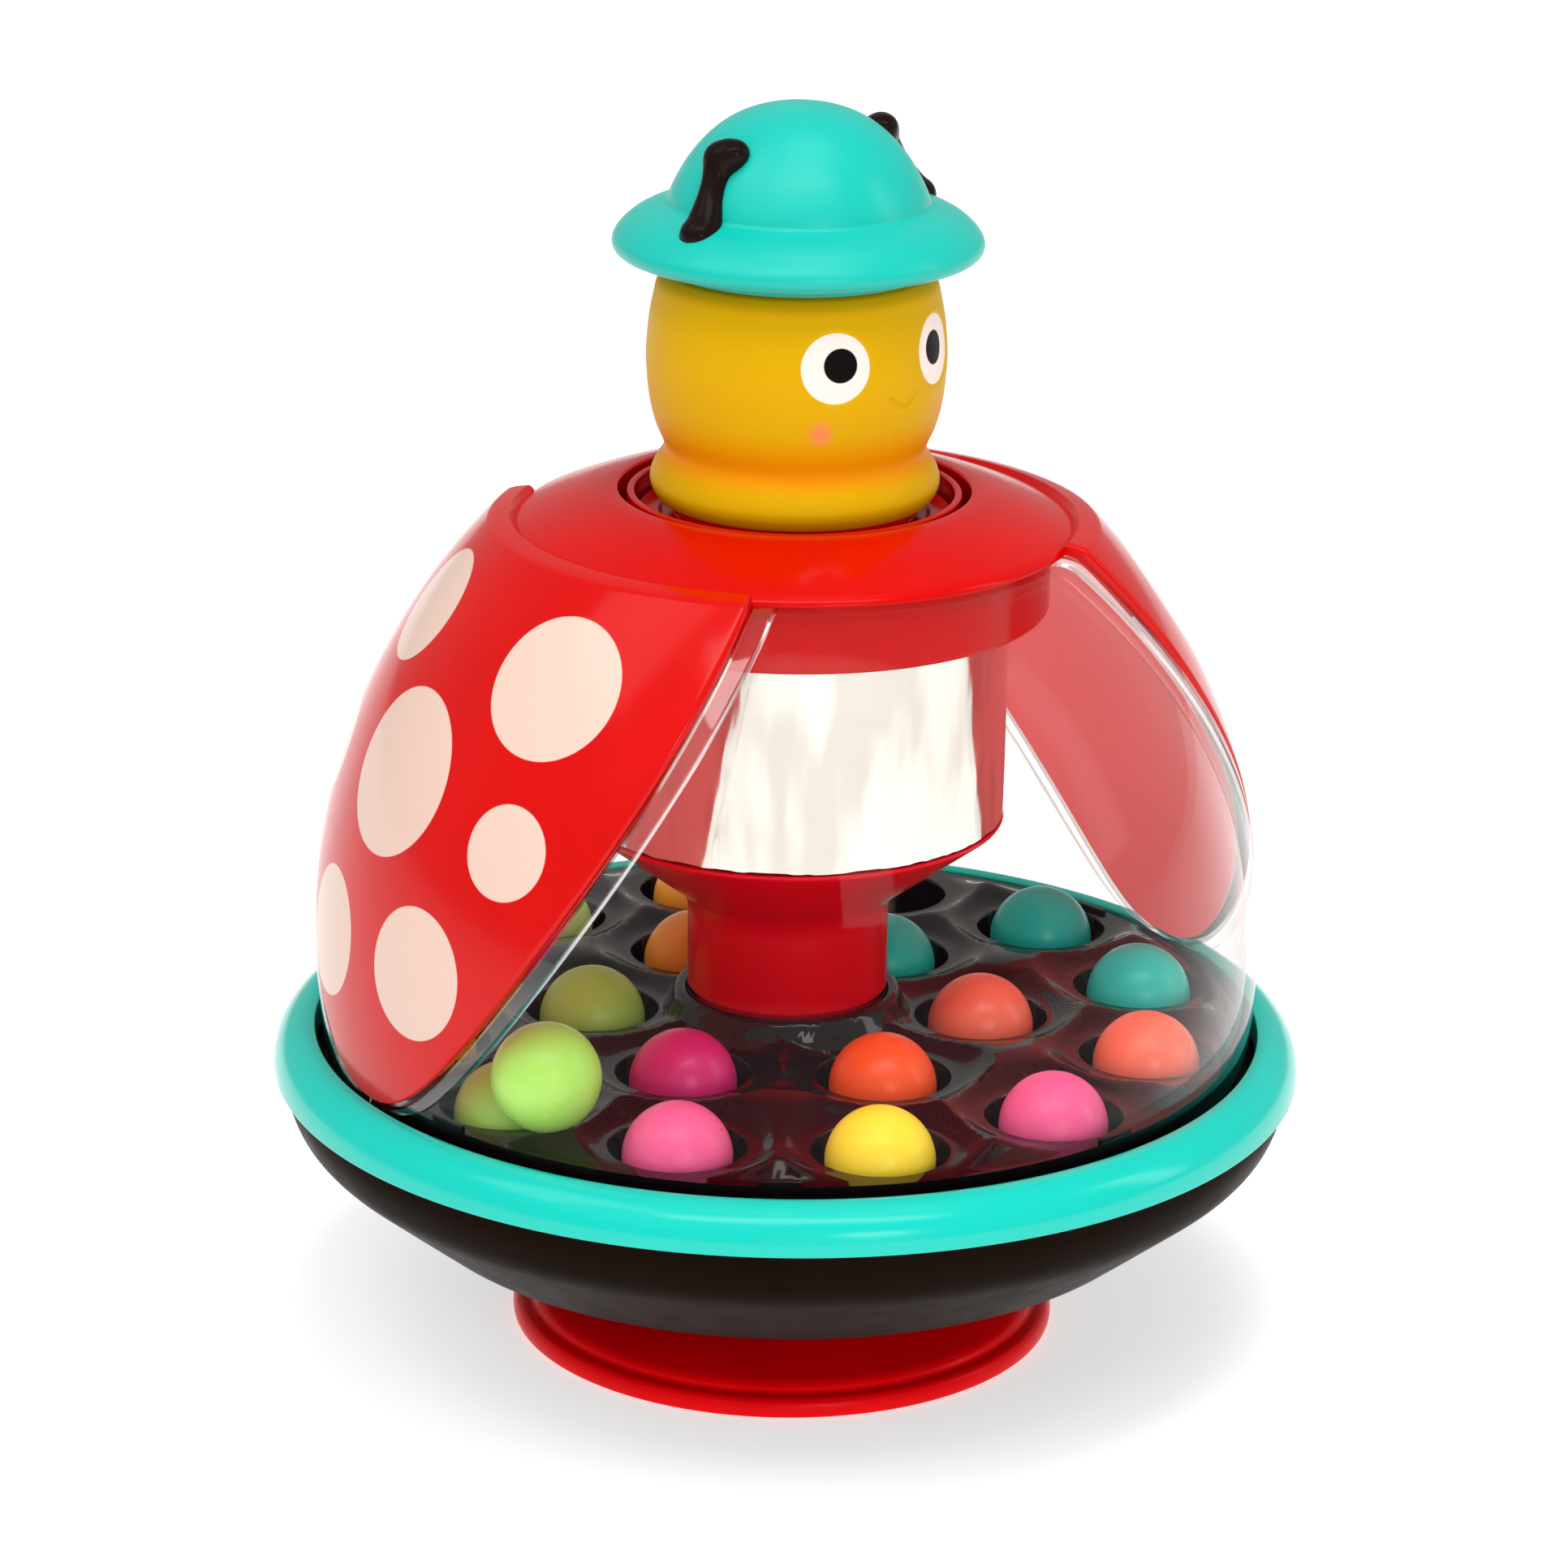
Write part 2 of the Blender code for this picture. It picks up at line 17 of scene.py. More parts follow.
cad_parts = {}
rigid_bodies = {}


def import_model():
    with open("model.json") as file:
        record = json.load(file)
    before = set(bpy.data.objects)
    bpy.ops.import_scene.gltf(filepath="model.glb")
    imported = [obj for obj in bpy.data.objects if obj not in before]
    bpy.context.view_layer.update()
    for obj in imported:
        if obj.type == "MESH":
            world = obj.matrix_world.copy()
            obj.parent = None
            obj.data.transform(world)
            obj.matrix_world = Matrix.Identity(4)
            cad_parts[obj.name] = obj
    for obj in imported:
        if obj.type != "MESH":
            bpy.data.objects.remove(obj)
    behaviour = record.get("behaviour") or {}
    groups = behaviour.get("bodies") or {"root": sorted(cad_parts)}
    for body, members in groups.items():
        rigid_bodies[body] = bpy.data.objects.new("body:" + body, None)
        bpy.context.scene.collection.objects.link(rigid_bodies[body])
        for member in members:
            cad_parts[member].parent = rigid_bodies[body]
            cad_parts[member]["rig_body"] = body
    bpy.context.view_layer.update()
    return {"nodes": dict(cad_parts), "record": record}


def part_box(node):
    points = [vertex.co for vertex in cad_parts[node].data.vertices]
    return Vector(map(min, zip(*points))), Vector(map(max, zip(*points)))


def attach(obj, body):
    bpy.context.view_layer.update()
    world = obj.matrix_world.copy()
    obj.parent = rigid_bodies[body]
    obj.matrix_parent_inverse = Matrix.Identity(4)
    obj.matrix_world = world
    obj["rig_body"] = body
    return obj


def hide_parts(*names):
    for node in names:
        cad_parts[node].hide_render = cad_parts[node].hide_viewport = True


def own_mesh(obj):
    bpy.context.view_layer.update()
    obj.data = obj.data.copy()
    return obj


MM = 0.001
SEGMENTS = 192
CURVE_STEPS = 6
MERGE_DISTANCE = 0.002 * MM

# The dome and the wings are ellipses of revolution about one middle.
DOME_MIDDLE_Z = 70.0
DOME_A, DOME_B = 83.9, 98.6
DOME_WALL = 1.9
# Their walls are measured along lines from this height on the axis.
WALL_MIDDLE_Z = 88.0
WING_A, WING_B = 84.9, 100.7
WING_THICKNESS = 2.4
WING_TIP_Z, WING_TOP_Z = 57.5, 149.3
WING_HALF_ANGLE = 50.6
WING_STEP_RADIUS = 49.7
WING_STEP_RISE = 1.3
WING_TOP_FLARE = 1.4
WING_GAP = 0.35
BEAD_WIDTH = 4.4
BEAD_RAISE = 0.85

# The tray's pockets.
TRAY_TURN = -2.2
POCKET_RADIUS = 12.0
POCKET_RINGS = ((66.3, 12, 15.0), (34.95, 6, 0.0))
RIDGE_RISE = 2.9
POCKET_SIDES, RIM_SIDES, HUB_SIDES = 64, 360, 120

# The face, on the head's front.
FACE_TURN = 10.9
EYE_Z = 183.0
EYE_AZIMUTHS = (-16.2, 36.4)
EYE_RADIUS = 6.1
PUPIL_RADIUS = 3.0
PUPIL_SHIFT = 1.8
PUPIL_RISE = 0.5
CHEEK_AZIMUTHS = (-21.7, 46.5)
CHEEK_Z = 171.6
SMILE_AZIMUTH = 14.2
SMILE_HALF = 7.0
SMILE_LOW, SMILE_RISE = 174.7, 1.8
ANTENNA_SPREAD = 83.0

# The return spring: its wire's radius and its turns.
SPRING_WIRE = 0.5
SPRING_TURNS = 8

# The printed dots of the left wing: azimuth, height and radius. The right wing's are their mirror image.
WING_DOTS = (
    (-68.8, 134.5, 12.9),
    (-92.7, 114.5, 15.0),
    (-68.5, 108.9, 8.2),
    (-80.4, 84.4, 11.5),
    (-102.4, 82.0, 11.5),
    (-109.8, 137.0, 11.3),
    (-120.0, 108.0, 8.2),
)

# The camera, which looks a little down at the top from its front left.
CAMERA_AZIMUTH = -31.4
CAMERA_PITCH = 18.762
CAMERA_DISTANCE = 0.98789
CAMERA_LENS = 127.8
CAMERA_ROLL = 0.90
CAMERA_SHIFT = -0.00376
TARGET_Z = 100.65
LOOK_AT = (0.0, 0.0, TARGET_Z * MM)

# The studio's light.
WORLD_LOW, WORLD_HIGH = 0.41, 0.42
SUN_POWER = 0.8
FLOOR_GLOW = 0.54

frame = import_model()
NODE_BOXES = {name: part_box(name) for name in frame["nodes"]}


# Places taken from the frame.


def low(name):
    """The height of this node's lowest point."""
    return NODE_BOXES[name][0].z / MM


def high(name):
    """The height of this node's highest point."""
    return NODE_BOXES[name][1].z / MM


def outer(name):
    """The outer radius of this node, which is round about Z."""
    return NODE_BOXES[name][1].y / MM


def polar(radius, azimuth, z):
    """The point at this radius, azimuth and height, in metres."""
    turn = math.radians(azimuth)
    return Vector((radius * math.sin(turn), -radius * math.cos(turn), z)) * MM


def smooth_step(value):
    """0 up to 0, 1 from 1 on, and a smooth rise between them."""
    value = np.clip(value, 0.0, 1.0)
    return value * value * (3.0 - 2.0 * value)


# Shader building.


def srgb(red, green, blue):
    """A colour given as it looks on screen, 0 to 255, in the shader's linear values."""
    linear = []
    for value in (red, green, blue):
        share = value / 255.0
        linear.append(share / 12.92 if share <= 0.04045 else ((share + 0.055) / 1.055) ** 2.4)
    return (*linear, 1.0)


def node(tree, kind, inputs=None, **settings):
    """A shader node. Each input's value is a number, a colour or the socket that feeds it."""
    made = tree.nodes.new(kind)
    for key, value in settings.items():
        setattr(made, key, value)
    for key, value in (inputs or {}).items():
        if isinstance(value, bpy.types.NodeSocket):
            tree.links.new(value, made.inputs[key])
        else:
            made.inputs[key].default_value = value
    return made


def noise(tree, position, size, detail=3.0, roughness=0.5):
    """A noise whose features are about this many millimetres across."""
    inputs = {"Vector": position, "Scale": 1.0 / (size * MM), "Detail": detail, "Roughness": roughness}
    return node(tree, "ShaderNodeTexNoise", inputs).outputs["Fac"]


def remap(tree, value, start, end, to_start, to_end, smooth=False):
    """The value taken from one range to another, held at the range's ends."""
    kind = "SMOOTHSTEP" if smooth else "LINEAR"
    inputs = {"Value": value, "From Min": start, "From Max": end, "To Min": to_start, "To Max": to_end}
    return node(tree, "ShaderNodeMapRange", inputs, interpolation_type=kind).outputs["Result"]


def math_node(tree, operation, first, second):
    """The result of one step of arithmetic."""
    return node(tree, "ShaderNodeMath", {0: first, 1: second}, operation=operation).outputs[0]


def mixed(tree, share, first, second):
    """The first colour, going over to the second as the share goes from 0 to 1."""
    # A colour mix has its factor at 0, its colours at 6 and 7 and its result at 2.
    return node(tree, "ShaderNodeMix", {0: share, 6: first, 7: second}, data_type="RGBA").outputs[2]


def stretched(tree, position, scale):
    """The position scaled along each axis, so that a noise read from it is drawn out."""
    return node(tree, "ShaderNodeMapping", {"Vector": position, "Scale": scale}).outputs["Vector"]


def spot(tree, position, centre, radius, edge=0.12):
    """1 within a ball of this radius round the centre, falling to 0 across its edge, all in millimetres."""
    away = node(tree, "ShaderNodeVectorMath", {0: position, 1: centre}, operation="DISTANCE").outputs["Value"]
    return remap(tree, away, (radius - edge) * MM, (radius + edge) * MM, 1.0, 0.0, smooth=True)


def new_material(name):
    """An empty material, its tree, its output and the position on the object."""
    material = bpy.data.materials.new(name)
    material.use_nodes = True
    tree = material.node_tree
    tree.nodes.clear()
    output = tree.nodes.new("ShaderNodeOutputMaterial")
    position = tree.nodes.new("ShaderNodeTexCoord").outputs["Object"]
    return material, tree, output, position


def surfaced(tree, output, inputs):
    """A Principled shader with these inputs, as the material's surface."""
    shader = node(tree, "ShaderNodeBsdfPrincipled", inputs)
    tree.links.new(shader.outputs["BSDF"], output.inputs["Surface"])
    return shader


def moulded(
    name, colour, roughness, shade=0.9, grain=0.12, flow=0.05,
    specular=0.3, glow=0.0, painted_glow=0.0, paint=None,
):
    """Moulded plastic: a faintly uneven colour, a roughness that varies, flow marks and a fine grain.

    glow is the share of its light that scatters below the surface, and painted_glow is the strength of a
    painted glow in its own colour, which stands in for light shining through a thin wall. paint takes the
    tree, the position and the plain colour, and returns the printed colour.
    """
    material, tree, output, position = new_material(name)
    cloud = noise(tree, position, 22.0, 4.0, 0.6)
    darker = tuple(channel * shade for channel in colour[:3]) + (1.0,)
    plain = mixed(tree, remap(tree, cloud, 0.3, 0.7, 0.0, 1.0), colour, darker)
    base = paint(tree, position, plain) if paint else plain
    smudge = noise(tree, position, 9.0, 5.0, 0.65)
    rough = remap(tree, smudge, 0.25, 0.75, roughness * 0.82, roughness * 1.2)
    fine = noise(tree, position, 0.5, 2.0)
    broad = noise(tree, position, 14.0, 2.0)
    waves = node(tree, "ShaderNodeBump", {"Height": broad, "Strength": flow, "Distance": 0.0005})
    bump = node(
        tree, "ShaderNodeBump",
        {"Height": fine, "Strength": grain, "Distance": 0.00004, "Normal": waves.outputs["Normal"]},
    )
    inputs = {"Base Color": base, "Roughness": rough, "Specular IOR Level": specular}
    shader = surfaced(tree, output, {**inputs, "Normal": bump.outputs["Normal"]})
    # A painted glow in the piece's own colour, standing in for light through a thin wall.
    if painted_glow:
        shader.inputs["Emission Color"].default_value = colour
        shader.inputs["Emission Strength"].default_value = painted_glow
    if glow:
        shader.inputs["Subsurface Weight"].default_value = glow
        shader.inputs["Subsurface Radius"].default_value = (0.004, 0.002, 0.001)
        shader.inputs["Subsurface Scale"].default_value = 0.6
    return material


def wing_paint(side):
    """The cream dots printed on a wing. side is 1 for the wing that they are listed for, -1 for the other."""

    def paint(tree, position, plain):
        covered = None
        for azimuth, z, radius in WING_DOTS:
            centre = polar(ellipse(WING_A, WING_B, z), azimuth * side, z)
            inside = spot(tree, position, centre, radius)
            covered = inside if covered is None else math_node(tree, "MAXIMUM", covered, inside)
        ink = mixed(tree, noise(tree, position, 0.6, 2.0), srgb(222, 192, 177), srgb(216, 184, 169))
        return mixed(tree, covered, plain, ink)

    return paint


def head_paint(tree, position, plain):
    """The head's printed eyes and cheeks, and painted shade: a warmer tone where the neck is creased and
    under the hat.
    """
    height = node(tree, "ShaderNodeSeparateXYZ", {"Vector": position}).outputs["Z"]
    neck, top = low("head_shell"), high("head_shell")
    below = remap(tree, height, (neck + 4.5) * MM, (neck + 8.3) * MM, 0.0, 1.0, smooth=True)
    above = remap(tree, height, (neck + 9.0) * MM, (neck + 17.0) * MM, 1.0, 0.0, smooth=True)
    # Painted shade: the creased part of the neck turns a darker orange.
    crease_shade = math_node(tree, "MULTIPLY", math_node(tree, "MULTIPLY", below, above), 0.85)
    base = mixed(tree, crease_shade, plain, srgb(232, 138, 0))
    # Painted shade under the hat's brim: a warmer orange towards the head's top.
    brim_shade = remap(tree, height, (top - 9.5) * MM, (top - 6.0) * MM, 0.0, 0.7, smooth=True)
    base = mixed(tree, brim_shade, base, srgb(238, 160, 0))
    speck = noise(tree, position, 0.35, 3.0, 0.7)
    for azimuth in CHEEK_AZIMUTHS:
        centre = polar(head_radius(CHEEK_Z), azimuth, CHEEK_Z)
        blush = spot(tree, position, centre, 1.7, 1.3)
        blush = math_node(tree, "MULTIPLY", blush, remap(tree, speck, 0.3, 0.7, 0.55, 1.0))
        base = mixed(tree, blush, base, srgb(240, 120, 90))
    for azimuth in EYE_AZIMUTHS:
        centre = polar(head_radius(EYE_Z), azimuth, EYE_Z)
        base = mixed(tree, spot(tree, position, centre, EYE_RADIUS), base, srgb(246, 228, 220))
        towards = math.copysign(PUPIL_SHIFT, SMILE_AZIMUTH - azimuth)
        pupil = polar(head_radius(EYE_Z), azimuth + towards, EYE_Z + PUPIL_RISE)
        base = mixed(tree, spot(tree, position, pupil, PUPIL_RADIUS), base, srgb(6, 3, 2))
    return base


def ball_paint(tint):
    """The parting line and the mould's scuffs on a ball, a little lighter than its colour."""

    def paint(tree, position, plain):
        streaks = node(
            tree, "ShaderNodeTexWave",
            {"Vector": position, "Scale": 420.0, "Distortion": 5.0, "Detail": 3.0, "Detail Scale": 2.0},
            bands_direction="DIAGONAL",
        ).outputs["Fac"]
        patches = remap(tree, noise(tree, position, 7.0, 3.0), 0.52, 0.68, 0.0, 0.30)
        share = math_node(tree, "MULTIPLY", remap(tree, streaks, 0.80, 1.0, 0.0, 1.0), patches)
        return mixed(tree, share, plain, tint)

    return paint


def clear_plastic(name, haze, roughness):
    """Clear plastic as a thin wall: it shows what is behind it and mirrors where it is seen edge on.

    Its fine scratches and its haze mirror a little too.
    """
    material, tree, output, position = new_material(name)
    upright = stretched(tree, position, (1.0, 1.0, 0.12))
    scratches = remap(tree, noise(tree, upright, 0.8, 4.0, 0.7), 0.66, 0.76, 0.0, 1.0)
    waves = noise(tree, position, 16.0, 2.0)
    bump = node(tree, "ShaderNodeBump", {"Height": waves, "Strength": 0.12, "Distance": 0.0010})
    weight = node(tree, "ShaderNodeLayerWeight", {"Blend": 0.5, "Normal": bump.outputs["Normal"]})
    grazing = math_node(tree, "POWER", weight.outputs["Facing"], 4.5)
    dust = remap(tree, scratches, 0.0, 1.0, haze, haze + 0.03)
    share = math_node(tree, "ADD", math_node(tree, "MULTIPLY", grazing, 0.75), dust)
    behind = node(tree, "ShaderNodeBsdfTransparent", {"Color": (0.983, 0.975, 0.966, 1.0)})
    rough = remap(tree, scratches, 0.0, 1.0, roughness, 0.3)
    inputs = {"Base Color": (0.95, 0.95, 0.95, 1.0), "Metallic": 1.0, "Roughness": rough}
    gloss = node(tree, "ShaderNodeBsdfPrincipled", {**inputs, "Normal": bump.outputs["Normal"]})
    both = node(tree, "ShaderNodeMixShader", {0: share, 1: behind.outputs[0], 2: gloss.outputs[0]})
    tree.links.new(both.outputs[0], output.inputs["Surface"])
    return material


def bright_film(name):
    """The drum's mirror film, which lies a little unevenly."""
    material, tree, output, position = new_material(name)
    upright = stretched(tree, position, (1.0, 1.0, 0.25))
    ripples = noise(tree, upright, 6.0, 2.0, 0.4)
    bump = node(tree, "ShaderNodeBump", {"Height": ripples, "Strength": 0.5, "Distance": 0.0005})
    tarnish = noise(tree, position, 5.0, 2.0, 0.5)
    streaks = remap(tree, noise(tree, upright, 9.0, 2.0, 0.5), 0.42, 0.62, 0.0, 1.0, smooth=True)
    base = mixed(tree, streaks, (0.84, 0.81, 0.76, 1.0), (0.66, 0.63, 0.59, 1.0))
    rough = remap(tree, tarnish, 0.3, 0.7, 0.05, 0.12)
    inputs = {"Base Color": base, "Metallic": 1.0, "Roughness": rough}
    surfaced(tree, output, {**inputs, "Normal": bump.outputs["Normal"]})
    return material


def brushed_steel(name, colour, roughness):
    """Turned or drawn steel: fine lines round the part and a slightly varied tone."""
    material, tree, output, position = new_material(name)
    lines = noise(tree, stretched(tree, position, (0.2, 0.2, 3.0)), 0.6, 3.0)
    base = mixed(tree, lines, colour, tuple(channel * 0.72 for channel in colour[:3]) + (1.0,))
    bump = node(tree, "ShaderNodeBump", {"Height": lines, "Strength": 0.3, "Distance": 0.00005})
    rough = remap(tree, lines, 0.3, 0.7, roughness, roughness * 1.5)
    inputs = {"Base Color": base, "Metallic": 1.0, "Roughness": rough}
    surfaced(tree, output, {**inputs, "Normal": bump.outputs["Normal"]})
    return material


# Mesh building.


def rounded(points):
    """A closed outline in which each corner that gives a third number is curved from that far away."""
    outline = []
    for i, point in enumerate(points):
        here = Vector(point[:2])
        if len(point) < 3:
            outline.append(here)
            continue
        before = Vector(points[i - 1][:2]) - here
        after = Vector(points[(i + 1) % len(points)][:2]) - here
        start = here + before * min(0.49, point[2] / before.length)
        end = here + after * min(0.49, point[2] / after.length)
        for step in range(CURVE_STEPS + 1):
            t = step / CURVE_STEPS
            outline.append(start * (1 - t) ** 2 + here * 2 * t * (1 - t) + end * t**2)
    return outline


def flowing(points, steps=5):
    """A smooth curve through the points."""
    curve = []
    ends = [points[0], *points, points[-1]]
    for p0, p1, p2, p3 in zip(ends, ends[1:], ends[2:], ends[3:]):
        for step in range(steps):
            t = step / steps
            point = []
            for a, b, c, d in zip(p0, p1, p2, p3):
                cubic = (2 * b) + (c - a) * t + (2 * a - 5 * b + 4 * c - d) * t**2
                point.append(0.5 * (cubic + (3 * b - a - 3 * c + d) * t**3))
            curve.append(tuple(point))
    curve.append(tuple(points[-1]))
    return curve


def placed(name, data):
    """A new object in the scene that holds this mesh, light or camera."""
    obj = bpy.data.objects.new(name, data)
    bpy.context.scene.collection.objects.link(obj)
    return obj


def finished(bm, name, material, sharp=40.0, weighted=True):
    """The object made of this mesh, smooth except at its sharp edges."""
    bmesh.ops.remove_doubles(bm, verts=bm.verts, dist=MERGE_DISTANCE)
    bmesh.ops.recalc_face_normals(bm, faces=bm.faces)
    mesh = bpy.data.meshes.new(name)
    bm.to_mesh(mesh)
    bm.free()
    mesh.shade_smooth()
    mesh.set_sharp_from_angle(angle=math.radians(sharp))
    mesh.materials.append(material)
    obj = placed(name, mesh)
    if weighted:
        obj.modifiers.new("Even shading", "WEIGHTED_NORMAL").keep_sharp = True
    return obj


def strip(bm, first, second):
    """The faces between two rows of as many points."""
    return [bm.faces.new(corners) for corners in zip(first, first[1:], second[1:], second)]


def band(bm, first, second):
    """The faces between two closed rings of as many points."""
    return strip(bm, [*first, first[0]], [*second, second[0]])


def circle(radius, count, centre=(0.0, 0.0), start=0.0):
    """Points (x, y) evenly round a circle. The first is this many steps on from +X."""
    turns = [2 * math.pi * (i + start) / count for i in range(count)]
    return [(centre[0] + radius * math.cos(turn), centre[1] + radius * math.sin(turn)) for turn in turns]


def lathe(outline, segments=SEGMENTS, azimuths=None, closed=True, shift=None):
    """The mesh of an outline of (radius, height) turned about Z.

    shift gives how far a point moves inwards, from its azimuth and height.
    """
    bm = bmesh.new()
    azimuths = azimuths or [360.0 * i / segments for i in range(segments)]
    rows = []
    for radius, z in outline:
        row = []
        for azimuth in azimuths:
            inward = shift(azimuth, z) if shift and radius > 0.01 else 0.0
            row.append(bm.verts.new(polar(max(radius - inward, 0.0), azimuth, z)))
        rows.append(row)
    pairs = list(zip(rows, rows[1:]))
    if closed:
        pairs.append((rows[-1], rows[0]))
    for first, second in pairs:
        band(bm, first, second)
    bmesh.ops.remove_doubles(bm, verts=bm.verts, dist=MERGE_DISTANCE)
    return bm


def stand_for(obj, cad_node):
    """obj takes the place of a CAD node, on its body."""
    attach(obj, frame["nodes"][cad_node]["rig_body"])
    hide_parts(cad_node)
    return obj


def turned_piece(cad_node, points, material, sharp=40.0):
    """A finely turned piece. Its points are (inset, height above the node's lowest point, curve)."""
    radius, base = outer(cad_node), low(cad_node)
    bm = lathe(rounded([(radius - point[0], base + point[1], *point[2:]) for point in points]))
    return stand_for(finished(bm, f"{cad_node}_turned", material, sharp), cad_node)


def ellipse(a, b, z):
    """The radius at height z of the dome-shaped surface with this radius and height."""
    return a * math.sqrt(max(1.0 - ((z - DOME_MIDDLE_Z) / b) ** 2, 0.0))


def wing_half(share):
    """Half of a wing's width, in degrees, this share of the way from its tip to its top.

    The root rounds the tip, and the rest widens the wing evenly.
    """
    return WING_HALF_ANGLE * (0.5 * share + 0.5 * share**0.36)


def moved(point, distance):
    """The point moved outwards by this distance, or inwards if it is negative."""
    middle = Vector((0.0, 0.0, WALL_MIDDLE_Z * MM))
    return point + (point - middle).normalized() * distance * MM


# The materials.

RED = srgb(200, 2, 0)
TEAL = srgb(4, 192, 177)
BLACK = srgb(25, 15, 9)

red = moulded("red_plastic", RED, 0.15, specular=0.17)
dark_red = moulded("dark_red_plastic", srgb(244, 0, 10), 0.26, specular=0.1)
column_red = moulded("column_red_plastic", srgb(216, 0, 24), 0.2, specular=0.16)
# The wings' inner faces: a lighter, pinker red with a glow in its own colour, both painted light that stands
# in for light coming through the thin red walls.
inner_red_glowing = moulded("inner_red_painted_glow", srgb(255, 122, 124), 0.38, shade=0.93, specular=0.2, painted_glow=0.3)
wing_red = {}
for wing_name, side in (("left_wing", 1.0), ("right_wing", -1.0)):
    wing_red[wing_name] = moulded(f"{wing_name}_printed", RED, 0.14, specular=0.26, paint=wing_paint(side))
teal = moulded("teal_plastic", TEAL, 0.17, shade=0.97, grain=0.04, flow=0.015, specular=0.42)
teal_vinyl = moulded("teal_vinyl", srgb(2, 178, 164), 0.34, shade=0.97, grain=0.1, specular=0.42)
black = moulded("black_plastic", BLACK, 0.34, shade=0.8, specular=0.012)
tray_black = moulded("black_tray", srgb(18, 2, 8), 0.06, shade=0.8, flow=0.02, grain=0.02, specular=0.42)
black_gloss = moulded("black_relief", srgb(24, 14, 10), 0.2, shade=0.85, specular=0.1)
nylon = moulded("natural_nylon", srgb(232, 228, 214), 0.45, shade=0.93, specular=0.4)
clear = clear_plastic("clear_plastic", 0.004, 0.02)
clear_bead = clear_plastic("clear_bead", 0.09, 0.05)
clear_edge = clear_plastic("clear_edge", 0.50, 0.12)
film = bright_film("mirror_film")
steel = brushed_steel("turned_steel", (0.62, 0.61, 0.59, 1.0), 0.28)
spring_steel = brushed_steel("spring_steel", (0.50, 0.50, 0.52, 1.0), 0.22)

BALL_COLOURS = {
    "pink_ball": (236, 92, 146),
    "coral_ball": (244, 108, 84),
    "aqua_ball": (30, 205, 190),
    "amber_ball": (242, 160, 48),
    "lime_ball": (172, 226, 100),
    "yellow_ball": (246, 214, 50),
    "magenta_ball": (218, 28, 118),
    "orange_ball": (246, 84, 30),
}
ball_finish = {}
for colour_name, shown in BALL_COLOURS.items():
    lighter = srgb(*(min(255, value + 38) for value in shown))
    # A faint painted glow lifts each ball out of the shade under the collar and the wings.
    ball_finish[colour_name] = moulded(
        colour_name, srgb(*shown), 0.3, shade=0.95, grain=0.15, specular=0.5, glow=0.12, painted_glow=0.05,
        paint=ball_paint(lighter),
    )


# The foot and the turned shells. Each outline goes once round the piece's cut section.


def build_foot():
    """The red foot: a thin lip on the table and a flared bell above it."""
    height = high("suction_foot") - low("suction_foot")
    radius = outer("suction_foot")
    points = [
        (radius, height), (radius - 15.6, height, 1.2), (32.2, 20.8, 2.5), (28.2, 15.6, 4.0),
        (19.2, 9.6, 5.5), (4.0, 4.9, 1.4), (3.2, 3.5, 0.6), (0.9, 3.4, 1.0), (0.0, 1.8, 1.0),
        (0.2, 0.0, 0.6), (6.2, 0.0, 1.5), (16.2, 5.6, 5.0), (30.6, 13.0, 4.0), (radius, 13.0),
    ]
    turned_piece("suction_foot", points, dark_red)


def build_bowl():
    """The black bowl under the tray, in two tiers."""
    points = [
        (0.0, 25.4, 0.4), (0.0, 21.9, 2.0), (2.2, 16.1, 4.0), (9.0, 10.6, 3.0), (18.2, 3.2, 0.7),
        (20.2, 1.6, 0.6), (22.2, 0.0, 1.6), (64.0, 1.1, 4.0), (70.0, 4.5, 1.0), (76.0, 4.5, 0.3),
        (76.0, 7.5, 0.3), (77.2, 7.5), (77.2, 14.5, 0.3), (72.8, 14.5, 0.3), (72.8, 7.5, 1.0),
        (63.0, 3.7, 3.0), (23.0, 2.6, 3.0), (4.1, 17.9, 3.0), (2.7, 23.1, 1.0), (10.6, 23.1, 0.3),
        (10.6, 25.4, 0.3),
    ]
    turned_piece("lower_bowl", points, black)


def build_ring():
    """The teal ring that clamps the dome to the bowl."""
    points = [
        (7.5, 7.6, 0.5), (5.5, 8.0, 1.2), (3.0, 6.9, 1.6), (1.1, 4.9, 1.4), (0.2, 2.6, 1.2),
        (0.0, 0.0, 0.5), (4.7, 0.0, 0.2), (4.7, 2.3, 0.2), (7.5, 2.3, 0.2),
    ]
    turned_piece("rim_ring", points, teal)


def build_shoulder():
    """The red pieces round the head: the collar, the skirt, the guide bush and its disc."""
    collar = [
        (18.5, 8.45, 0.6), (16.3, 8.3, 1.2), (11.3, 7.0, 2.5), (5.3, 4.8, 2.5), (0.9, 2.9, 1.2),
        (0.0, 1.9, 0.6), (0.0, 1.2, 0.3), (3.3, 1.2, 0.3), (5.8, 2.4, 0.5), (16.1, 5.9, 0.5),
        (16.1, 0.0, 0.2), (18.5, 0.0, 0.2),
    ]
    turned_piece("shoulder_collar", collar, red)
    skirt = [
        (0.0, 12.5, 0.3), (0.0, 0.0, 0.9), (6.5, 0.0, 0.4), (6.5, 2.0, 0.4), (2.0, 2.0, 0.6),
        (2.0, 12.5, 0.3),
    ]
    turned_piece("inner_skirt", skirt, red)
    bush = [
        (3.9, 10.3, 0.5), (3.9, 2.0, 0.3), (0.0, 2.0, 0.3), (0.0, 0.0, 0.3), (5.3, 0.0, 0.3),
        (5.3, 10.3, 0.5),
    ]
    turned_piece("guide_bush", bush, red)
    disc = [
        (0.0, 2.0, 0.4), (0.0, 0.0, 0.3), (17.2, 0.0, 0.2), (17.2, 2.0, 0.2), (7.2, 2.0, 0.3),
        (6.4, 1.3, 0.3), (4.4, 1.3, 0.3), (3.6, 2.0, 0.3),
    ]
    turned_piece("guide_disc", disc, red)


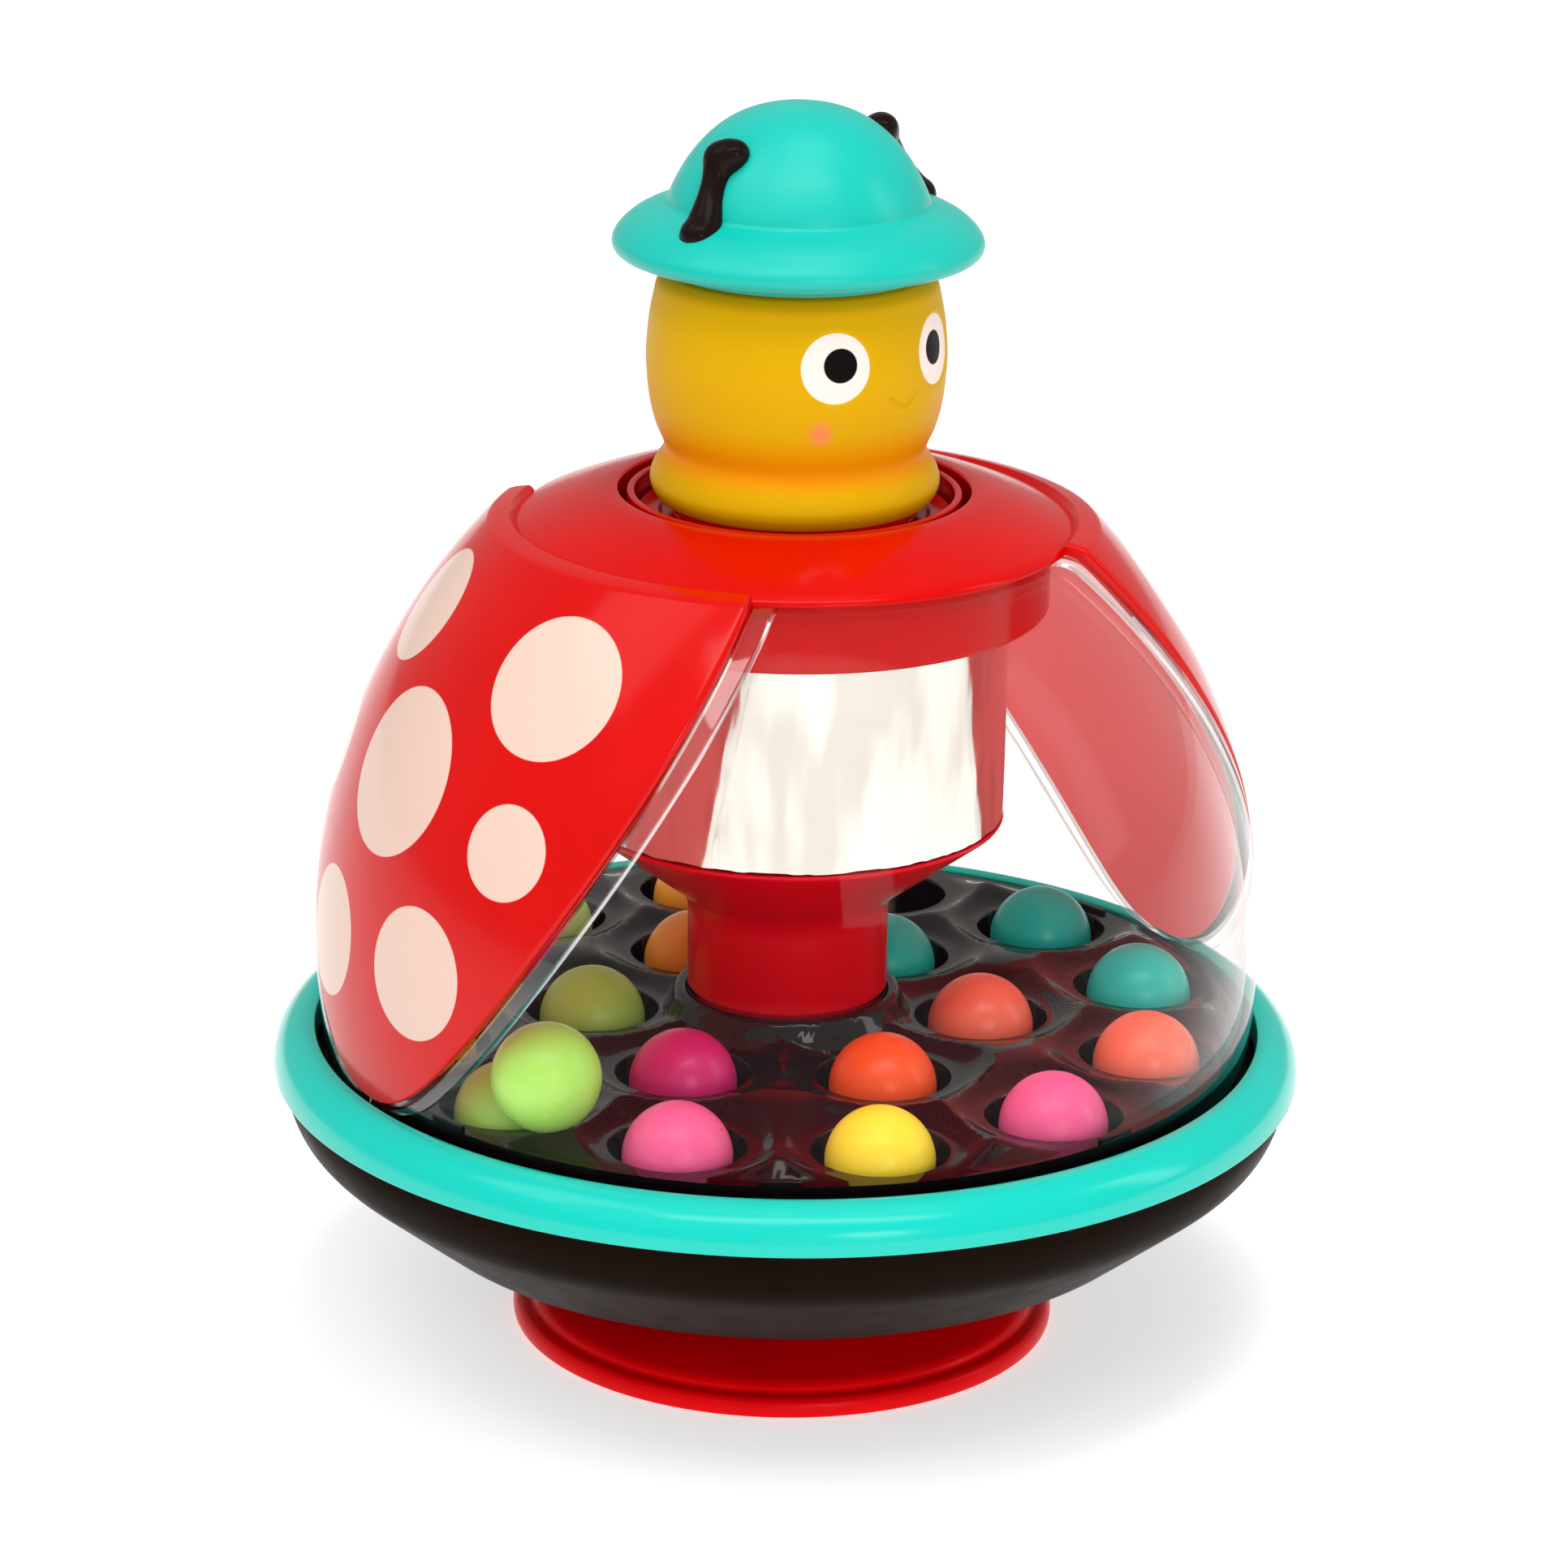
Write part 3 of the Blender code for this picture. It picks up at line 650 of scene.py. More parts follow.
def build_column():
    """The red column that carries the mirror drum: a tube below and a funnel above."""
    points = [
        (0.0, 58.4, 0.3), (0.0, 57.6, 0.5), (20.15, 42.4, 3.0), (20.15, 25.15, 0.3), (21.55, 25.15, 0.3),
        (21.55, 0.0, 0.3), (23.85, 0.0, 0.3), (23.85, 27.7, 0.3), (22.45, 27.7, 0.3), (22.45, 45.7, 1.0),
        (18.45, 45.7, 1.0), (2.15, 58.4, 0.3),
    ]
    turned_piece("drive_column", points, column_red)


def build_drum():
    """The mirror drum: thin film that ripples, and whose lower edge is cut a little unevenly."""
    radius, base, top = outer("mirror_drum"), low("mirror_drum"), high("mirror_drum")
    wall = 1.6

    def ripple(azimuth, z):
        """How far the film lies inwards: three slow waves round the drum, which fade at its ends."""
        turn = math.radians(azimuth)
        fade = math.sin(math.pi * min(max((z - base) / (top - base), 0.0), 1.0)) ** 0.5
        slow = math.sin(5 * turn + 0.05 * z) + 0.7 * math.sin(9 * turn - 0.11 * z + 1.0)
        return 0.10 + 0.04 * fade * (slow + 0.25 * math.sin(17 * turn + 0.31 * z))

    rows = 40
    outline = [(radius, base)]
    outline += [(radius, base + (top - base) * i / rows) for i in range(1, rows + 1)]
    outline += [(radius - wall, top), (radius - wall, base)]
    bm = lathe(outline, shift=ripple)
    draw = random.Random(7)
    ragged = [draw.uniform(0.0, 0.35) for _ in range(SEGMENTS)]
    for vertex in bm.verts:
        if vertex.co.z < (base + 0.01) * MM:
            turn = math.degrees(math.atan2(vertex.co.x, -vertex.co.y)) % 360.0
            vertex.co.z += ragged[int(turn / 360.0 * SEGMENTS) % SEGMENTS] * MM
    stand_for(finished(bm, "mirror_drum_film", film), "mirror_drum")


# The clear dome and the wings.


def dome_rows():
    """The dome's outer outline from its foot to the lip under the collar, closer set near the wings' tips."""
    base = low("clear_dome")
    curve_top = 145.0
    rows = [(DOME_A, base), (DOME_A, base + 1.0)]
    below_tip = WING_TIP_Z - WING_GAP
    rows += [(ellipse(DOME_A, DOME_B, z), z) for z in np.linspace(base + 2.0, below_tip - 0.02, 10)]
    steps = 72
    for step in range(steps + 1):
        z = below_tip + 0.02 + (curve_top - below_tip) * (step / steps) ** 1.7
        rows.append((ellipse(DOME_A, DOME_B, z), z))
    rows += [(53.0, 146.4), (52.2, 147.0), (51.0, 147.5), (49.7, 147.8), (45.4, 147.9)]
    return rows


def bead_height(distance):
    """How far the bead beside a wing stands up, this far from the wing's outline."""
    rise = smooth_step(distance / 0.6)
    fall = 1.0 - smooth_step((distance - BEAD_WIDTH + 0.8) / 0.8)
    return BEAD_RAISE * float(rise * fall)


def build_dome():
    """A clear shell that stands between the wings, with a raised bead along each wing's outline."""
    bead_stops = [0.0, 0.15, 0.35, 0.6, 1.4, 2.6]
    bead_stops += [BEAD_WIDTH - 0.8, BEAD_WIDTH - 0.5, BEAD_WIDTH - 0.2, BEAD_WIDTH]
    bead_columns = len(bead_stops) - 1
    bead_sides = (0, 1, bead_columns - 2, bead_columns - 1)
    bead_slot, edge_slot = 1, 2
    inner_columns = 30
    bm = bmesh.new()
    # Each quarter runs from a wing's edge to the middle of the window beside it.
    for start in (0.0, 90.0, 180.0, 270.0):
        towards_wing = 1.0 if start in (0.0, 180.0) else -1.0
        window = start if towards_wing > 0 else start + 90.0
        layers = ([], [])
        for radius, z in dome_rows():
            share = min(max((z - WING_TIP_Z + WING_GAP) / (WING_TOP_Z - WING_TIP_Z), 0.0), 1.0)
            margin = math.degrees(WING_GAP / radius) if share > 0.0 else 0.0
            edge = 90.0 - wing_half(share) - margin
            line = ([], [])
            stops = [math.degrees(stop / radius) for stop in bead_stops]
            last = stops[-1]
            stops += [last + (edge - last) * i / inner_columns for i in range(1, inner_columns + 1)]
            for stop in stops:
                aside = math.radians(stop) * radius
                drop = max(WING_TIP_Z - WING_GAP - z, 0.0)
                at = polar(radius, window + towards_wing * (edge - stop), z)
                raised = bead_height(math.hypot(aside, drop))
                line[0].append(bm.verts.new(moved(at, raised)))
                line[1].append(bm.verts.new(moved(at, -DOME_WALL - 0.6 * raised)))
            layers[0].append(line[0])
            layers[1].append(line[1])
        for depth, layer in enumerate(layers):
            for lower_row, upper_row in zip(layer, layer[1:]):
                above_tip = lower_row[0].co.z > (WING_TIP_Z - 2.0) * MM
                for i, face in enumerate(strip(bm, lower_row, upper_row)):
                    if depth == 0 and above_tip and i < bead_columns:
                        face.material_index = edge_slot if i in bead_sides else bead_slot
        for end in (0, -1):
            strip(bm, layers[0][end], layers[1][end])
        outer_edge = [row[0] for row in layers[0]]
        inner_edge = [row[0] for row in layers[1]]
        beside_wing = [point.co.z > (WING_TIP_Z - WING_GAP) * MM for point in outer_edge]
        first = max(beside_wing.index(True) - 1, 0)
        for face in strip(bm, outer_edge[first:], inner_edge[first:]):
            face.material_index = edge_slot
    dome = finished(bm, "clear_dome_shell", clear)
    dome.data.materials.append(clear_bead)
    dome.data.materials.append(clear_edge)
    stand_for(dome, "clear_dome")


def wing_point(across, share, step_in, azimuth):
    """A point of a wing's outer surface. share runs up its body, and step_in across the step on top."""
    z = WING_TIP_Z + (WING_TOP_Z - WING_TIP_Z) * share
    radius = ellipse(WING_A, WING_B, z) + WING_TOP_FLARE * share**8
    radius += (WING_STEP_RADIUS - radius) * step_in
    z += WING_STEP_RISE * math.sqrt(step_in)
    return polar(radius, azimuth + across * wing_half(share), z)


def wing_columns(half_width):
    """Places across a wing from -1 to 1, close together at its edges, with their distances from the edge."""
    near = [0.0, 0.12, 0.3, 0.55, 0.85, 1.2, 1.6, 2.2]
    scale = min(1.0, half_width / 5.0)
    left = [(-1.0 + distance * scale / half_width, distance) for distance in near]
    middle = 56
    start = left[-1][0]
    inner = [(start - 2.0 * start * i / middle, near[-1]) for i in range(1, middle)]
    return left + inner + [(-across, distance) for across, distance in reversed(left)]


def build_wing(name, azimuth):
    """A wing cover with rolled side edges, a soft line beside them, and the step under the collar."""
    edge_round = 1.1
    tip_share = 0.0006
    body_rows = 90
    rows = [((row / body_rows) ** 1.5, 0.0) for row in range(body_rows + 1)]
    rows[0] = (tip_share, 0.0)
    rows += [(1.0, step) for step in (0.1, 0.25, 0.5, 0.75, 1.0)]
    bm = bmesh.new()
    layers = ([], [])
    for share, step_in in rows:
        z = WING_TIP_Z + (WING_TOP_Z - WING_TIP_Z) * share
        half_width = math.radians(wing_half(share)) * ellipse(WING_A, WING_B, z)
        line = ([], [])
        for across, distance in wing_columns(max(half_width, 0.5)):
            point = wing_point(across, share, step_in, azimuth)
            inside = max(edge_round - distance, 0.0)
            roll = edge_round - math.sqrt(edge_round**2 - inside**2)
            line[0].append(bm.verts.new(moved(point, -roll)))
            line[1].append(bm.verts.new(moved(point, -WING_THICKNESS)))
        layers[0].append(line[0])
        layers[1].append(line[1])
    outer_layer, inner_layer = layers
    for slot, layer in enumerate(layers):
        for lower_row, upper_row in zip(layer, layer[1:]):
            for face in strip(bm, lower_row, upper_row):
                face.material_index = slot
    for row in range(len(rows) - 1):
        for side in (0, -1):
            outer_edge = (outer_layer[row][side], outer_layer[row + 1][side])
            inner_edge = (inner_layer[row + 1][side], inner_layer[row][side])
            bm.faces.new((*outer_edge, *inner_edge))
    for end in (0, -1):
        strip(bm, outer_layer[end], inner_layer[end])
    cover = finished(bm, f"{name}_cover", wing_red[name], 50.0)
    cover.data.materials.append(inner_red_glowing)
    stand_for(cover, name)


# The tray and its balls.


def pocket_centres():
    """The middles of the tray's pockets, as (x, y)."""
    centres = []
    for radius, count, start in POCKET_RINGS:
        for i in range(count):
            turn = math.radians(TRAY_TURN + start + 360.0 / count * i)
            centres.append((radius * math.sin(turn), -radius * math.cos(turn)))
    return np.array(centres)


def tray_heights(points, centres, land, hub_top):
    """The tray's height at each point: ridges stand between the pockets, and it rises to the hub."""
    sharpness = 5.0
    dish_start, dish_width = 0.9, 8.4
    rim_start, rim_width = 1.2, 7.0
    hub_foot, hub_width = 22.6, 3.2
    away = np.linalg.norm(points[:, None, :] - centres[None], axis=2)
    nearest = -np.log(np.exp(-sharpness * away).sum(axis=1)) / sharpness
    radius = np.linalg.norm(points, axis=1)
    ridge = RIDGE_RISE * smooth_step((nearest - POCKET_RADIUS - dish_start) / dish_width)
    ridge *= smooth_step((outer("ball_tray") - rim_start - radius) / rim_width)
    hub = (hub_top - land) * smooth_step((hub_foot - radius) / hub_width)
    return land + np.maximum(ridge, hub)


def tray_plan(centres, rim, hub_radius):
    """The tray's top from above: its points, and the edges round its pockets, rim and hub."""
    dish_steps = (0.35, 0.8, 1.4, 2.1, 2.9, 3.8, 4.6, 5.3, 5.9, 6.6, 7.4)
    margin = 0.3
    loops = [circle(POCKET_RADIUS, POCKET_SIDES, centre) for centre in centres]
    loops += [circle(rim, RIM_SIDES), circle(hub_radius, HUB_SIDES)]
    plan = []
    edges = []
    for loop in loops:
        first = len(plan)
        count = len(loop)
        plan += loop
        edges += [(first + i, first + (i + 1) % count) for i in range(count)]
    for index, centre in enumerate(centres):
        for number, step in enumerate(dish_steps, 1):
            for point in circle(POCKET_RADIUS + step, POCKET_SIDES, centre, 0.5 * (number % 2)):
                away = np.linalg.norm(centres - point, axis=1)
                on_top = hub_radius + margin < math.hypot(*point) < rim - margin
                if away.argmin() == index and on_top:
                    plan.append(point)
    rings = [(rim - inset, RIM_SIDES) for inset in (0.4, 1.0, 1.8)]
    rings += [(hub_radius + beyond, HUB_SIDES) for beyond in (0.5, 1.2, 2.0)]
    for radius, count in rings:
        for point in circle(radius, count, start=0.5):
            if np.linalg.norm(centres - point, axis=1).min() > POCKET_RADIUS + margin:
                plan.append(point)
    return plan, edges


def stepped_wall(bm, centre, radius, count, height, steps):
    """Rings joined by faces, each inset and lowered by its pair in steps. It returns the last ring."""
    upper = None
    for inset, drop in steps:
        ring = []
        for x, y in circle(radius - inset, count, centre):
            ring.append(bm.verts.new(Vector((x, y, height - drop)) * MM))
        if upper:
            band(bm, upper, ring)
        upper = ring
    return upper


def build_tray():
    """One skin with pockets for the balls, deep dishes round them and crisp ridges where the dishes meet."""
    rim, hub_top = outer("ball_tray"), high("ball_tray")
    land = WING_TIP_Z
    hub_radius = 19.2
    rim_foot = 49.2
    centres = pocket_centres()
    plan, constraints = tray_plan(centres, rim, hub_radius)
    flat, _, faces, *_ = delaunay_2d_cdt([Vector(point) for point in plan], constraints, [], 0, 1e-5)
    points = np.array([tuple(point) for point in flat])
    heights = tray_heights(points, centres, land, hub_top)
    bm = bmesh.new()
    verts = [bm.verts.new(Vector((x, y, z)) * MM) for (x, y), z in zip(points, heights)]
    for face in faces:
        middle = points[list(face)].mean(axis=0)
        radius = np.linalg.norm(middle)
        away = np.linalg.norm(centres - middle, axis=1).min()
        if away > POCKET_RADIUS - 0.01 and hub_radius < radius < rim:
            bm.faces.new([verts[i] for i in face])
    for vertex in [v for v in bm.verts if not v.link_faces]:
        bm.verts.remove(vertex)
    pocket = [
        (0.0, 0.0), (0.1, 0.12), (0.24, 0.45), (0.36, 1.1), (0.7, 4.0), (1.2, 8.4), (1.6, 11.0),
        (2.2, 11.6), (3.6, 11.8), (7.0, 11.8),
    ]
    for centre in centres:
        bm.faces.new(stepped_wall(bm, centre, POCKET_RADIUS, POCKET_SIDES, land, pocket))
    middle = (0.0, 0.0)
    rim_steps = [(0.0, 0.0), (0.0, 0.3), (0.0, land - rim_foot)]
    hub_steps = [(0.0, 0.0), (0.9, 0.05), (1.5, 0.4), (1.5, 5.2)]
    stepped_wall(bm, middle, rim, RIM_SIDES, land, rim_steps)
    stepped_wall(bm, middle, hub_radius, HUB_SIDES, hub_top, hub_steps)
    tray = finished(bm, "ball_tray_skin", tray_black, 50.0, weighted=False)
    solid = tray.modifiers.new("Wall", "SOLIDIFY")
    solid.thickness = 0.9 * MM
    solid.offset = -1.0
    stand_for(tray, "ball_tray")


def build_ball(name, colour_name, draw):
    """A moulded ball with a hair-fine parting line round it, turned at random."""
    lowest, highest = NODE_BOXES[name]
    centre = (lowest + highest) / 2
    radius = (highest.z - lowest.z) / 2 / MM
    rows, columns = 56, 96
    line_height, line_half_angle = 0.05, 1.6
    outline = []
    for row in range(rows + 1):
        tilt = math.pi * row / rows
        ridge = line_height * math.exp(-((math.degrees(tilt) - 90.0) / line_half_angle) ** 2)
        reach = radius - line_height + ridge
        outline.append((reach * math.sin(tilt), reach * math.cos(tilt)))
    bm = lathe(outline, columns, closed=False)
    turn = Matrix.Rotation(draw.uniform(0, 2 * math.pi), 4, "Z")
    tilt = Matrix.Rotation(draw.uniform(0.35, 1.2), 4, "X")
    bm.transform(Matrix.Translation(centre) @ turn @ tilt)
    stand_for(finished(bm, f"{name}_moulded", ball_finish[colour_name], weighted=False), name)


def build_balls():
    """Each ball takes the colour that its node's material slot names."""
    draw = random.Random(12)
    slots = {}
    for entry in frame["record"]["subparts"]:
        if entry["node"].startswith("ball_") and entry["node"] != "ball_tray":
            slots[entry["node"]] = entry["material_slot"]
    for name in sorted(slots):
        build_ball(name, slots[name], draw)


# The head and the hat.

# Radii and heights above the head's lowest point, up from the neck.
HEAD_OUTLINE = (
    (22.9, -1.1), (23.7, -0.8), (24.5, 0.2), (25.05, 1.3), (25.25, 2.6), (24.9, 4.2), (24.1, 5.8),
    (23.2, 7.2), (22.85, 8.4), (23.2, 9.8), (24.2, 12.0), (25.1, 15.0), (25.7, 18.6), (26.05, 22.6),
    (26.1, 25.6), (25.9, 28.4), (25.55, 31.6), (24.9, 35.0), (24.2, 37.6), (22.4, 39.3),
)


def head_radius(z):
    """The head's outer radius at this height."""
    points = [(up + low("head_shell"), radius) for radius, up in HEAD_OUTLINE]
    return float(np.interp(z, *zip(*points)))


def build_head():
    """The head with a shallow seat for each printed eye and a fine moulded smile."""
    base, top = low("head_shell"), high("head_shell")
    face_foot = base + 17.0
    seat_depth, smile_depth, smile_width = 0.28, 0.38, 0.62

    def carve(azimuth, z):
        """How deep the surface is cut at this azimuth and height."""
        if z <= face_foot:
            return 0.0
        azimuth = (azimuth + 180.0) % 360.0 - 180.0
        depth = 0.0
        reach = head_radius(z)
        for eye in EYE_AZIMUTHS:
            away = math.hypot(math.radians(azimuth - eye) * reach, z - EYE_Z)
            depth += seat_depth * float(smooth_step((EYE_RADIUS + 0.45 - away) / 0.5))
        aside = (azimuth - SMILE_AZIMUTH) / SMILE_HALF
        if abs(aside) < 1.25:
            line = SMILE_LOW + SMILE_RISE * min(abs(aside), 1.0) ** 2
            beyond = math.radians(max(abs(aside) - 1.0, 0.0) * SMILE_HALF) * reach
            away = math.hypot((z - line) / math.hypot(1.0, 1.1 * abs(aside)), beyond)
            depth += smile_depth * float(smooth_step((smile_width - away) / 0.5))
        return depth

    outline = [(radius, base + up) for radius, up in flowing(HEAD_OUTLINE, 6)]
    detailed = []
    for (r0, z0), (r1, z1) in zip(outline, outline[1:]):
        pieces = max(1, round((z1 - z0) / 0.28)) if z0 > face_foot else 1
        detailed += [(r0 + (r1 - r0) * i / pieces, z0 + (z1 - z0) * i / pieces) for i in range(pieces)]
    detailed += [(20.6, base + 39.6), (20.4, base + 40.2), (20.4, top), (18.7, top), (18.7, base + 38.0)]
    detailed += [(23.0, base + 35.7), (24.0, base + 22.0), (21.0, base + 8.3), (23.2, base + 2.6)]
    detailed += [(22.5, base), (22.3, base - 1.1)]
    front = [i * 0.45 for i in range(-110, 170)]
    rest = [front[-1] + (360.0 + front[0] - front[-1]) * i / 100 for i in range(1, 100)]
    bm = lathe(detailed, azimuths=front + rest, shift=carve)
    head = finished(bm, "head_shell_moulded", yellow_vinyl, 50.0, weighted=False)
    stand_for(head, "head_shell")


def build_hat():
    """The teal hat: a crown and a brim, hollow below."""
    base = low("hat")
    crown = [
        (0.0, 28.7), (3.6, 28.5), (7.2, 27.85), (10.8, 26.5), (14.0, 24.5), (16.9, 21.8), (19.2, 18.9),
        (21.0, 15.9), (22.1, 13.6), (22.6, 12.1),
    ]
    brim = [
        (22.95, 11.6), (24.4, 11.0), (26.6, 10.2), (28.7, 9.1), (30.5, 7.6), (31.7, 6.1), (32.1, 4.9),
        (31.85, 3.8), (31.0, 3.0), (29.6, 2.7), (28.0, 2.45), (25.8, 1.8), (24.2, 1.0), (22.8, 0.2),
    ]
    inner = [(21.2, 0.1), (20.8, 0.6), (20.8, 11.0), (19.8, 14.6), (17.6, 18.0), (11.0, 23.7), (0.0, 26.3)]
    outline = flowing(crown, 5) + flowing(brim, 5) + inner
    bm = lathe([(radius, base + up) for radius, up in outline], closed=False)
    stand_for(finished(bm, "hat_moulded", teal_vinyl, 60.0, weighted=False), "hat")


def build_antennae():
    """Each antenna lies on the hat: a flared foot on the brim, a thin stem, and a knob with a small lobe."""
    base = low("hat")
    shape = (
        (25.4, 9.7, 0.6, 3.4), (24.1, 10.8, 0.8, 3.3), (22.9, 12.8, 1.6, 2.9), (21.9, 14.8, 2.6, 2.5),
        (20.7, 17.2, 3.6, 2.3), (19.4, 19.4, 4.8, 2.6), (18.0, 21.3, 5.4, 3.5),
    )
    lobe = ((18.0, 21.3, 5.4, 3.5), (17.6, 22.0, 2.0, 3.2), (17.3, 22.6, -1.6, 2.6))
    for side, name in ((-1.0, "antenna_left"), (1.0, "antenna_right")):
        bm = bmesh.new()
        beads = []
        for radius, up, turn, thick in flowing(shape, 8) + flowing(lobe, 6):
            azimuth = FACE_TURN + side * (ANTENNA_SPREAD + turn)
            beads.append((polar(radius, azimuth, base + up), thick))
        for at, thick in beads:
            bmesh.ops.create_icosphere(bm, subdivisions=3, radius=thick * MM, matrix=Matrix.Translation(at))
        antenna = finished(bm, name, black_gloss, 80.0, weighted=False)
        merge = antenna.modifiers.new("One skin", "REMESH")
        merge.mode = "VOXEL"
        merge.voxel_size = 0.28 * MM
        merge.use_smooth_shade = True
        soften = antenna.modifiers.new("Soften", "SMOOTH")
        soften.factor = 0.6
        soften.iterations = 8
        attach(antenna, "head")


def build_return_spring():
    """A round-wire coil that spans its node's height."""
    bottom, top = low("return_spring") + SPRING_WIRE, high("return_spring") - SPRING_WIRE
    coil = outer("return_spring") - SPRING_WIRE
    per_turn, sides = 48, 14
    count = SPRING_TURNS * per_turn
    bm = bmesh.new()
    rings = []
    for i in range(count + 1):
        share = i / count
        turn = 360.0 * SPRING_TURNS * share
        z = bottom + (top - bottom) * share
        ring = []
        for side in range(sides):
            around = 2 * math.pi * side / sides
            out, up = SPRING_WIRE * math.cos(around), SPRING_WIRE * math.sin(around)
            ring.append(bm.verts.new(polar(coil + out, turn, z + up)))
        rings.append(ring)
    for ring, above in zip(rings, rings[1:]):
        band(bm, ring, above)
    bm.faces.new(rings[0])
    bm.faces.new(rings[-1])
    spring = finished(bm, "return_spring_coil", spring_steel, 50.0, weighted=False)
    stand_for(spring, "return_spring")
    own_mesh(spring)


def build_snap_tabs():
    """The small moulded catches round the tray's edge that hold the dome down."""
    tabs = 8
    first_azimuth = 13.1
    reach, height = 80.2, WING_TIP_Z + 0.3
    along, across, up = 7.5, 1.1, 1.0
    size = Matrix.Diagonal((along * MM, across * MM, up * MM, 1.0))
    bm = bmesh.new()
    for i in range(tabs):
        azimuth = first_azimuth + 360.0 / tabs * i
        turn = Matrix.Rotation(math.radians(azimuth), 4, "Z")
        place = Matrix.Translation(polar(reach, azimuth, height)) @ turn
        bmesh.ops.create_cube(bm, size=1.0, matrix=place @ size)
    tab = finished(bm, "dome_catches", tray_black, 30.0)
    soften = tab.modifiers.new("Rounded", "BEVEL")
    soften.width = 0.25 * MM
    soften.segments = 3
    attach(tab, "spinning_body")


def finish_cad_nodes():
    """The working parts keep their CAD shape and get real finishes."""
    screws = [f"{group}_{i + 1}" for group in ("foot_screw", "bowl_screw") for i in range(3)]
    finishes = {
        steel: ("guide_post", "post_cap", "post_screw", "retaining_ring", "head_screw", *screws),
        dark_red: ("head_core",),
        nylon: ("thrust_washer", "spindle", "drive_nut", "clutch_ring", "nut_keeper", "hub_bush"),
    }
    for material, names in finishes.items():
        for name in names:
            slots = frame["nodes"][name].data.materials
            slots.clear()
            slots.append(material)


# The studio.


def aim(obj):
    """Turns a light or the camera towards the top's middle."""
    direction = (Vector(LOOK_AT) - obj.location).normalized()
    obj.rotation_mode = "QUATERNION"
    obj.rotation_quaternion = direction.to_track_quat("-Z", "Y")


def softbox(name, azimuth, elevation, distance, width, height, power):
    """A rectangular soft light that looks at the top's middle."""
    lamp = bpy.data.lights.new(name, "AREA")
    lamp.shape = "RECTANGLE"
    lamp.size = width
    lamp.size_y = height
    lamp.energy = power
    obj = placed(name, lamp)
    level = math.radians(elevation)
    obj.location = polar(distance * math.cos(level) / MM, azimuth, distance * math.sin(level) / MM)
    aim(obj)
    return obj


def build_floor():
    """A wide pale floor that glows a little, so that it stays nearly white."""
    material, tree, output, position = new_material("pale_floor")
    cloud = noise(tree, position, 180.0, 3.0)
    base = mixed(tree, cloud, (0.72, 0.72, 0.72, 1.0), (0.69, 0.69, 0.69, 1.0))
    fine = noise(tree, position, 1.5, 2.0)
    bump = node(tree, "ShaderNodeBump", {"Height": fine, "Strength": 0.05, "Distance": 0.0001})
    inputs = {"Base Color": base, "Roughness": 0.9, "Specular IOR Level": 0.1}
    inputs.update({"Emission Color": (1.0, 1.0, 1.0, 1.0), "Emission Strength": FLOOR_GLOW})
    surfaced(tree, output, {**inputs, "Normal": bump.outputs["Normal"]})
    bm = bmesh.new()
    bmesh.ops.create_grid(bm, x_segments=24, y_segments=24, size=6.0)
    floor = finished(bm, "floor", material, weighted=False)


